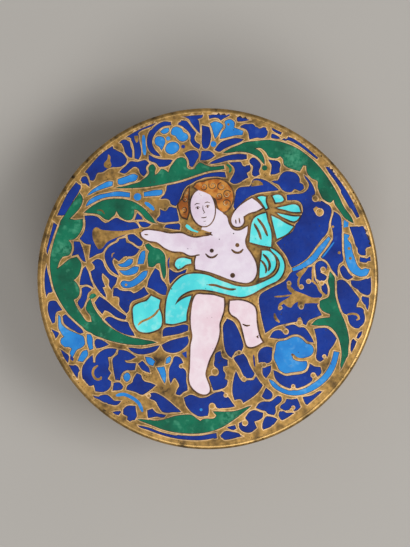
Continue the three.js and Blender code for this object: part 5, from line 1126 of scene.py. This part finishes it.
foot = {"setback": 0.0005, "width": 0.0046, "innerChamfer": 0.0004}
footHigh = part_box("foot_ring")[1]
footInner = footHigh.x - foot["setback"] - foot["width"]
piece = turnedPiece("foot", [
    [footInner, footHigh.z],
    [footInner, foot["innerChamfer"]],
    [footInner + foot["innerChamfer"], 0],
    [footHigh.x - 2 * foot["setback"], 0],
    [footHigh.x - foot["setback"], foot["setback"]],
    [footHigh.x, footHigh.z - foot["setback"]],
    [footHigh.x, footHigh.z],
], "box", bronze)
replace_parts(piece, "foot_ring")

wall = {"moulding": 0.0015, "depth": 0.0004, "neckGap": 0.00005, "shoulder": (0.45, 0.25)}
wallLow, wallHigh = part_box("body_wall")
neckLow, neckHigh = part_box("neck_ring")
seat = neckHigh.x + wall["neckGap"]
shoulderIn, shoulderUp = (wall["depth"] * part for part in wall["shoulder"])
waist = wallHigh.x - wall["depth"]
baseLine = wallLow.z + wall["moulding"]
rimLine = wallHigh.z - wall["moulding"]
piece = turnedPiece("body", [
    [seat, wallLow.z],
    [wallHigh.x, wallLow.z],
    [wallHigh.x, baseLine],
    [wallHigh.x - shoulderIn, baseLine + shoulderUp],
    [waist, baseLine + wall["depth"]],
    [waist, rimLine - wall["depth"]],
    [wallHigh.x - shoulderIn, rimLine - shoulderUp],
    [wallHigh.x, rimLine],
    [wallHigh.x, wallHigh.z],
    [seat, wallHigh.z],
], "box", bronze)
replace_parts(piece, "body_wall")

neck = {"wall": 0.0012, "chamfer": 0.0005, "knee": 0.3}
neckInner = neckHigh.x - neck["wall"]
neckKnee = neck["chamfer"] * neck["knee"]
piece = turnedPiece("neck", [
    [neckInner, neckLow.z],
    [neckHigh.x, neckLow.z],
    [neckHigh.x, neckHigh.z - neck["chamfer"]],
    [neckHigh.x - neckKnee, neckHigh.z - neckKnee],
    [neckHigh.x - neck["chamfer"], neckHigh.z],
    [neckInner, neckHigh.z],
], "box", gilt)
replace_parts(piece, "neck_ring")

baseLow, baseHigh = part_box("base_plate")
middle = 0.00005  # radius of the first and last loops, before they close on the axis
piece = turnedPiece("base", [
    [middle, baseLow.z],
    [baseHigh.x, baseLow.z],
    [baseHigh.x, baseHigh.z],
    [middle, baseHigh.z],
], "box", bronze, closed=False)
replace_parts(piece, "base_plate")

lidSide = {"wall": 0.0018, "moulding": 0.0015, "depth": 0.0004}
lidLow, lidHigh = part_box("lid_wall")
lidInner = lidHigh.x - lidSide["wall"]
lidWaist = lidHigh.x - lidSide["depth"]
arris = lidSide["depth"] / 2
lidLine = lidLow.z + lidSide["moulding"]
piece = turnedPiece("lid_side", [
    [lidInner, lidLow.z],
    [lidHigh.x - arris, lidLow.z],
    [lidHigh.x, lidLow.z + arris],
    [lidHigh.x, lidLine],
    [lidHigh.x - shoulderIn, lidLine + shoulderUp],
    [lidWaist, lidLine + lidSide["depth"]],
    [lidWaist, lidHigh.z - 2 * lidSide["depth"]],
    [lidHigh.x, lidHigh.z - lidSide["depth"]],
    [lidHigh.x, lidHigh.z],
    [lidInner, lidHigh.z],
], "lid", bronze)
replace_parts(piece, "lid_wall")

tray = {"border": 0.001, "round": 0.0008}
trayLow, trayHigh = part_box("lid_plate")
recess = trayHigh.x - tray["border"]
edgeCentre = trayHigh.x - tray["round"]
edgeHeight = trayHigh.z - tray["round"]
roundedEdge = [
    [edgeCentre + tray["round"] * math.cos(math.radians(degrees)),
     edgeHeight + tray["round"] * math.sin(math.radians(degrees))]
    for degrees in range(0, 91, 10)
]
piece = turnedPiece("lid_tray", [
    [middle, trayLow.z],
    [trayHigh.x, trayLow.z],
    *roundedEdge,
    [recess, trayHigh.z],
    [recess, plateTop],
    [middle, plateTop],
], "lid", gilt, closed=False, rounded=0.00003)
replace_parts(piece, "lid_plate")
print("turned pieces done")


# The picture's lines: smooth between drawn points, with a corner kept where the outline turns sharply
picture = {
    "corner": 62, "step": 0.45,  # degrees at which a corner stays sharp, and the smooth line's step
    # The edge band is the width of the painted highlight along the gilt walls
    "edgeHighlightBand": 0.21, "seam": 0.12, "outlineBand": 0.4, "jawBand": 0.28, "foldWeight": 1.4,
    "reach": {"cobalt": 0.26, "sky": 0.16, "leaf": 0.2}, "thinWall": 0.42,
    "rim": 0.45, "rimKeep": 1.6, "rimReach": 0.04, "rimSides": 192, "weld": 1e-4,
    "drop": 0.00003, "seamDrop": 0.00003,  # metres below the gilt, and below the enamel
}
pictureScale = fieldRadius / (drawnRadius * mm)


def smoothLine(points, closed):
    points = [Vector(p) for p in points]
    count = len(points)
    spans = count if closed else count - 1
    along = [(points[(i + 1) % count] - points[i]).normalized() for i in range(spans)]
    result = []

    def tangent(i, own):
        if not closed and i in (0, count - 1):
            return own
        before, after = along[i - 1], along[i % spans]
        if before.angle(after, math.pi) > math.radians(picture["corner"]):
            return own
        return (before + after).normalized()

    for i in range(spans):
        start, end = points[i], points[(i + 1) % count]
        length = (end - start).length
        first = tangent(i, along[i]) * length
        last = tangent((i + 1) % count, along[i]) * length
        steps = max(1, min(6, math.ceil(length / picture["step"])))
        for k in range(steps):
            t = k / steps
            result.append(
                start * (2 * t**3 - 3 * t**2 + 1) + first * (t**3 - 2 * t**2 + t)
                + end * (3 * t**2 - 2 * t**3) + last * (t**3 - t**2)
            )
    if not closed:
        result.append(points[-1])
    return result


def signedArea(points):
    return sum(a.cross(b) for a, b in zip(points, points[1:] + points[:1])) / 2


def widened(points, distances):
    side = 1 if signedArea(points) > 0 else -1
    result = []
    for i, (point, distance) in enumerate(zip(points, distances)):
        before = (point - points[i - 1]).normalized()
        after = (points[(i + 1) % len(points)] - point).normalized()
        outward = Vector((before.y + after.y, -before.x - after.x)).normalized()
        lean = max(0.6, outward.dot(Vector((before.y, -before.x))))
        result.append(point + outward * (side * distance / lean))
    return result


def stroke(points, width):
    line = smoothLine(points, False)
    left, right = [], []
    for i, point in enumerate(line):
        before = line[max(0, i - 1)]
        after = line[min(len(line) - 1, i + 1)]
        along = (after - before).normalized()
        across = Vector((-along.y, along.x))
        taper = min(1, 0.45 + 0.3 * min(i, len(line) - 1 - i))
        left.append(point + across * (width / 2 * taper))
        right.append(point - across * (width / 2 * taper))
    return left + right[::-1]


def dot(x, y, radius, sides=12):
    turns = [2 * math.pi * i / sides for i in range(sides)]
    return [Vector((x + radius * math.cos(turn), y + radius * math.sin(turn))) for turn in turns]


def onHead(x, y):
    tilt = math.radians(headOval["tilt"])
    centreX, centreY = headOval["centre"]
    turnedX = x * math.cos(tilt) - y * math.sin(tilt)
    turnedY = x * math.sin(tilt) + y * math.cos(tilt)
    return [centreX + turnedX, centreY + turnedY]


def headOutline():
    turns = [2 * math.pi * i / headOval["sides"] for i in range(headOval["sides"])]
    return [onHead(headOval["halfWidth"] * math.cos(t), headOval["halfHeight"] * math.sin(t)) for t in turns]


def curl(x, y, radius, start):
    points = []
    for i in range(8):
        turn = math.radians(start + 60 * i)
        reach = radius * (1 - i / 9)
        points.append([x + reach * math.cos(turn), y + reach * math.sin(turn)])
    return points


# Every area of the picture in painter's order, as (label, outline): a later one covers an earlier one
layers = []


def paint(label, outline):
    layers.append((label, outline))


cobaltCells = [outline for outlines in cobaltFields.values() for outline in outlines]
cells = [("cobalt", "cobalt", smoothLine(outline, True)) for outline in cobaltCells]
for finish, table in (("sky", sky), ("leaf", leaf), ("sea", sea)):
    cells += [(name, finish, smoothLine(outline, True)) for name, outline in table.items()]
cells.append(("head", "skin", smoothLine(headOutline(), True)))
for name, outline in skin.items():
    cells.append((name, "rose" if name in ("leg_left", "leg_right") else "skin", smoothLine(outline, True)))
cells += [(name, "hair", smoothLine(outline, True)) for name, outline in hair.items()]

# The cells reach outwards as far as the walls between them allow
outlinePoints = numpy.array([(p.x, p.y) for name, finish, outline in cells for p in outline])
pointOwners = numpy.repeat(range(len(cells)), [len(outline) for name, finish, outline in cells])


def reachedOut(number, name, finish, outline):
    if finish not in picture["reach"]:
        return name, finish, outline
    own = numpy.array([(p.x, p.y) for p in outline])
    others = outlinePoints[pointOwners != number]
    gaps = numpy.sqrt(((own[:, None] - others[None]) ** 2).sum(axis=2)).min(axis=1)
    room = numpy.clip((gaps - picture["thinWall"]) / 2, 0, picture["reach"][finish])
    room[numpy.hypot(own[:, 0], own[:, 1]) > drawnRadius - picture["rimKeep"]] = 0
    return name, finish, widened(outline, room.tolist())


cells = [reachedOut(number, *cell) for number, cell in enumerate(cells)]

# Bands of painted highlight round the cobalt, sky and leaf cells: brighter gilt for the light on the rounded
# gilt walls
for name, finish, outline in cells:
    if finish in ("cobalt", "sky", "leaf"):
        paint("edge_painted_highlight", widened(outline, [picture["edgeHighlightBand"]] * len(outline)))
for name, finish, outline in cells:
    if finish in ("sea", "skin", "rose", "hair"):
        paint("outline", widened(outline, [picture["outlineBand"]] * len(outline)))
for name, finish, outline in cells:
    if name == "head":
        paint("torso", smoothLine(neckPatch, True))
        paint("outline", widened(outline, [picture["jawBand"]] * len(outline)))
    if finish in picture["reach"]:
        paint("seam", outline)
        outline = widened(outline, [-picture["seam"]] * len(outline))
    paint(name, outline)
for outline in giltAreas.values():
    paint("gilt", smoothLine(outline, True))
for points, width in giltLines.values():
    paint("gilt", stroke(points, width))
# Each knob gets a ring of painted highlight round its rim, in the brighter edge gilt
for x, y, radius in knobs:
    paint("edge_painted_highlight", dot(x, y, radius))
    paint("gilt", dot(x, y, radius - picture["edgeHighlightBand"]))
for finish, lines in (("sky", skyLines), ("cobalt", cobaltLines), ("leaf", leafLines)):
    for points, width in lines.values():
        paint(finish, stroke(points, width))
for finish, table in smallCells.items():
    for outline in table.values():
        paint(finish, smoothLine(outline, True))
for points, width in darkLines.values():
    paint("outline", stroke(points, width * picture["foldWeight"]))
# Dark curls in the hair, each with a pale inner stroke in the brighter gilt of the painted edge highlight
for x, y, radius, start in hairCurls:
    paint("outline", stroke(curl(x, y, radius, start), 0.28))
    paint("edge_painted_highlight", stroke(curl(x, y, radius * 0.6, start + 150)[:5], 0.16))
for points, width in faceLines:
    paint("outline", stroke([onHead(x, y) for x, y in points], width))
for x, y, radius in faceDots:
    paint("outline", dot(*onHead(x, y), radius))
for label, places in dots.items():
    for x, y, radius in places:
        paint(label, dot(x, y, radius))

# The field is cut along every outline into triangles, and each takes the label of what covers it last
border = dot(0, 0, drawnRadius + picture["rimReach"], picture["rimSides"])
corners, edges = [], []
for outline in [border] + [outline for label, outline in layers]:
    start = len(corners)
    inside = [p if p.length <= drawnRadius - picture["rim"] or outline is border
              else p * ((drawnRadius - picture["rim"]) / p.length) for p in outline]
    corners += inside
    edges += [(start + i, start + (i + 1) % len(inside)) for i in range(len(inside))]
corners, edges, triangles, *origins = delaunay_2d_cdt(corners, edges, [], 1, picture["weld"])
places = numpy.array([(p.x, p.y) for p in corners])
faces = numpy.array([list(t) for t in triangles])
middles = places[faces].mean(axis=1)
owner = numpy.full(len(faces), -1)
for number, (label, outline) in enumerate(layers):
    ring = numpy.array([(p.x, p.y) for p in outline])
    low, high = ring.min(axis=0), ring.max(axis=0)
    near = numpy.nonzero(((middles >= low) & (middles <= high)).all(axis=1))[0]
    if not len(near):
        continue
    x, y = middles[near, 0][:, None], middles[near, 1][:, None]
    fromX, fromY = ring[:, 0][None], ring[:, 1][None]
    toX, toY = numpy.roll(ring[:, 0], -1)[None], numpy.roll(ring[:, 1], -1)[None]
    leftOf = (toX - fromX) * (y - fromY) - (toY - fromY) * (x - fromX)
    rising = (fromY <= y) & (toY > y) & (leftOf > 0)
    falling = (fromY > y) & (toY <= y) & (leftOf < 0)
    turns = rising.sum(axis=1) - falling.sum(axis=1)
    owner[near[turns != 0]] = number
labels = numpy.array(["gilt"] + [label for label, outline in layers])[owner + 1]
print("picture cut into", len(faces), "triangles")


# One piece for each label: its triangles at the face, extruded down to the ground
def addFill(name, label, finish, top):
    chosen = faces[labels == label]
    if not len(chosen):
        return None
    used, renumbered = numpy.unique(chosen, return_inverse=True)
    points = [(x * pictureScale * mm, y * pictureScale * mm, top) for x, y in places[used]]
    mesh = bpy.data.meshes.new(name)
    mesh.from_pydata(points, [], renumbered.reshape(-1, 3).tolist())
    piece = bpy.data.objects.new(name, mesh)
    bpy.context.scene.collection.objects.link(piece)
    bpy.ops.object.select_all(action="DESELECT")
    bpy.context.view_layer.objects.active = piece
    piece.select_set(True)
    bpy.ops.object.mode_set(mode="EDIT")
    bpy.ops.mesh.select_all(action="SELECT")
    bpy.ops.mesh.extrude_region_move(TRANSFORM_OT_translate={"value": (0, 0, groundTop - top)})
    bpy.ops.mesh.select_all(action="SELECT")
    bpy.ops.mesh.normals_make_consistent(inside=False)
    bpy.ops.object.mode_set(mode="OBJECT")
    mesh.materials.append(materials[finish])
    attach(piece, "lid")
    return piece


enamelTop = faceTop - picture["drop"]
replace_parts(addFill("gilt_lines", "gilt", "gilt", faceTop), "gilt_cellwork")
# The bright bands and rings of painted highlight along the edges of the gilt walls
addFill("gilt_edge_highlights", "edge_painted_highlight", "edge_painted_highlight", faceTop)
addFill("dark_outlines", "outline", "outline", enamelTop)
addFill("dark_seams", "seam", "seam", enamelTop - picture["seamDrop"])
addFill("cobalt_field", "cobalt", "cobalt", enamelTop)
addFill("leaf_details", "leaf", "leaf", enamelTop)
addFill("sky_details", "sky", "sky", enamelTop)
addFill("sea_details", "sea", "sea", enamelTop)
for name, finish, outline in cells:
    if name != "cobalt":
        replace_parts(addFill(name + "_enamel", name, finish, enamelTop), name)

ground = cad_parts["enamel_ground"]
ground.data.materials.clear()
ground.data.materials.append(materials["cobalt"])
print("picture laid in")


# Floor, light and camera
studio = {
    "floor": (182, 178, 172), "floorSize": 6, "worldLight": 0.32,
    "keyPlace": (0.08, -0.68, 1.12), "keySize": 0.5, "keyPower": 4.8,
    "sidePlace": (0.68, -0.12, 1.06), "sideSize": 0.5, "sidePower": 6.6,
    "topPlace": (0.05, -0.1, 1.6), "topSize": 1.5, "topPower": 2.2,
}

floorMaterial, tree, shader, coordinates = newMaterial("pale floor")
cloth = noiseOf(tree, coordinates, 0.05, 3)
tree.links.new(blended(tree, cloth, (178, 174, 168), studio["floor"]), shader.inputs["Base Color"])
shader.inputs["Roughness"].default_value = 0.85
bpy.ops.object.select_all(action="DESELECT")
bpy.ops.mesh.primitive_plane_add(size=studio["floorSize"], location=(0, 0, -0.00005))
floor = bpy.context.object
floor.name = "floor"
floor.data.materials.append(floorMaterial)


def aimedLight(name, place, size, power):
    bpy.ops.object.light_add(type="AREA", location=place)
    light = bpy.context.object
    light.name = name
    light.rotation_euler = (Vector(place) * -1).to_track_quat("-Z", "Y").to_euler()
    light.data.size = size
    light.data.energy = power
    return light


aimedLight("key", studio["keyPlace"], studio["keySize"], studio["keyPower"])
aimedLight("side", studio["sidePlace"], studio["sideSize"], studio["sidePower"])
aimedLight("softbox", studio["topPlace"], studio["topSize"], studio["topPower"])

world = bpy.data.worlds.new("studio")
bpy.context.scene.world = world
world.use_nodes = True
tree = world.node_tree
tree.nodes.clear()
output = tree.nodes.new("ShaderNodeOutputWorld")
light = tree.nodes.new("ShaderNodeBackground")
light.inputs["Color"].default_value = (1, 1, 1, 1)
light.inputs["Strength"].default_value = studio["worldLight"]
seen = tree.nodes.new("ShaderNodeBackground")
seen.inputs["Color"].default_value = linear(studio["floor"])
path = tree.nodes.new("ShaderNodeLightPath")
either = mathOf(tree, "MAXIMUM", path.outputs["Is Camera Ray"], path.outputs["Is Glossy Ray"])
either = mathOf(tree, "MAXIMUM", either, path.outputs["Is Transmission Ray"])
choice = tree.nodes.new("ShaderNodeMixShader")
tree.links.new(either, choice.inputs[0])
tree.links.new(light.outputs[0], choice.inputs[1])
tree.links.new(seen.outputs[0], choice.inputs[2])
tree.links.new(choice.outputs[0], output.inputs["Surface"])

# Straight above the lid, a little off its centre as in the photograph
view = {"height": 0.6, "offset": (-0.00068, 0.00124), "frameLength": 0.1281}
bpy.ops.object.camera_add(location=(*view["offset"], faceTop + view["height"]), rotation=(0, 0, 0))
camera = bpy.context.object
camera.data.sensor_width = 36
camera.data.lens = 36 * view["height"] / view["frameLength"]
camera.data.clip_start = 0.01
bpy.context.scene.camera = camera
bpy.context.scene.view_settings.view_transform = "Standard"
print("studio set")
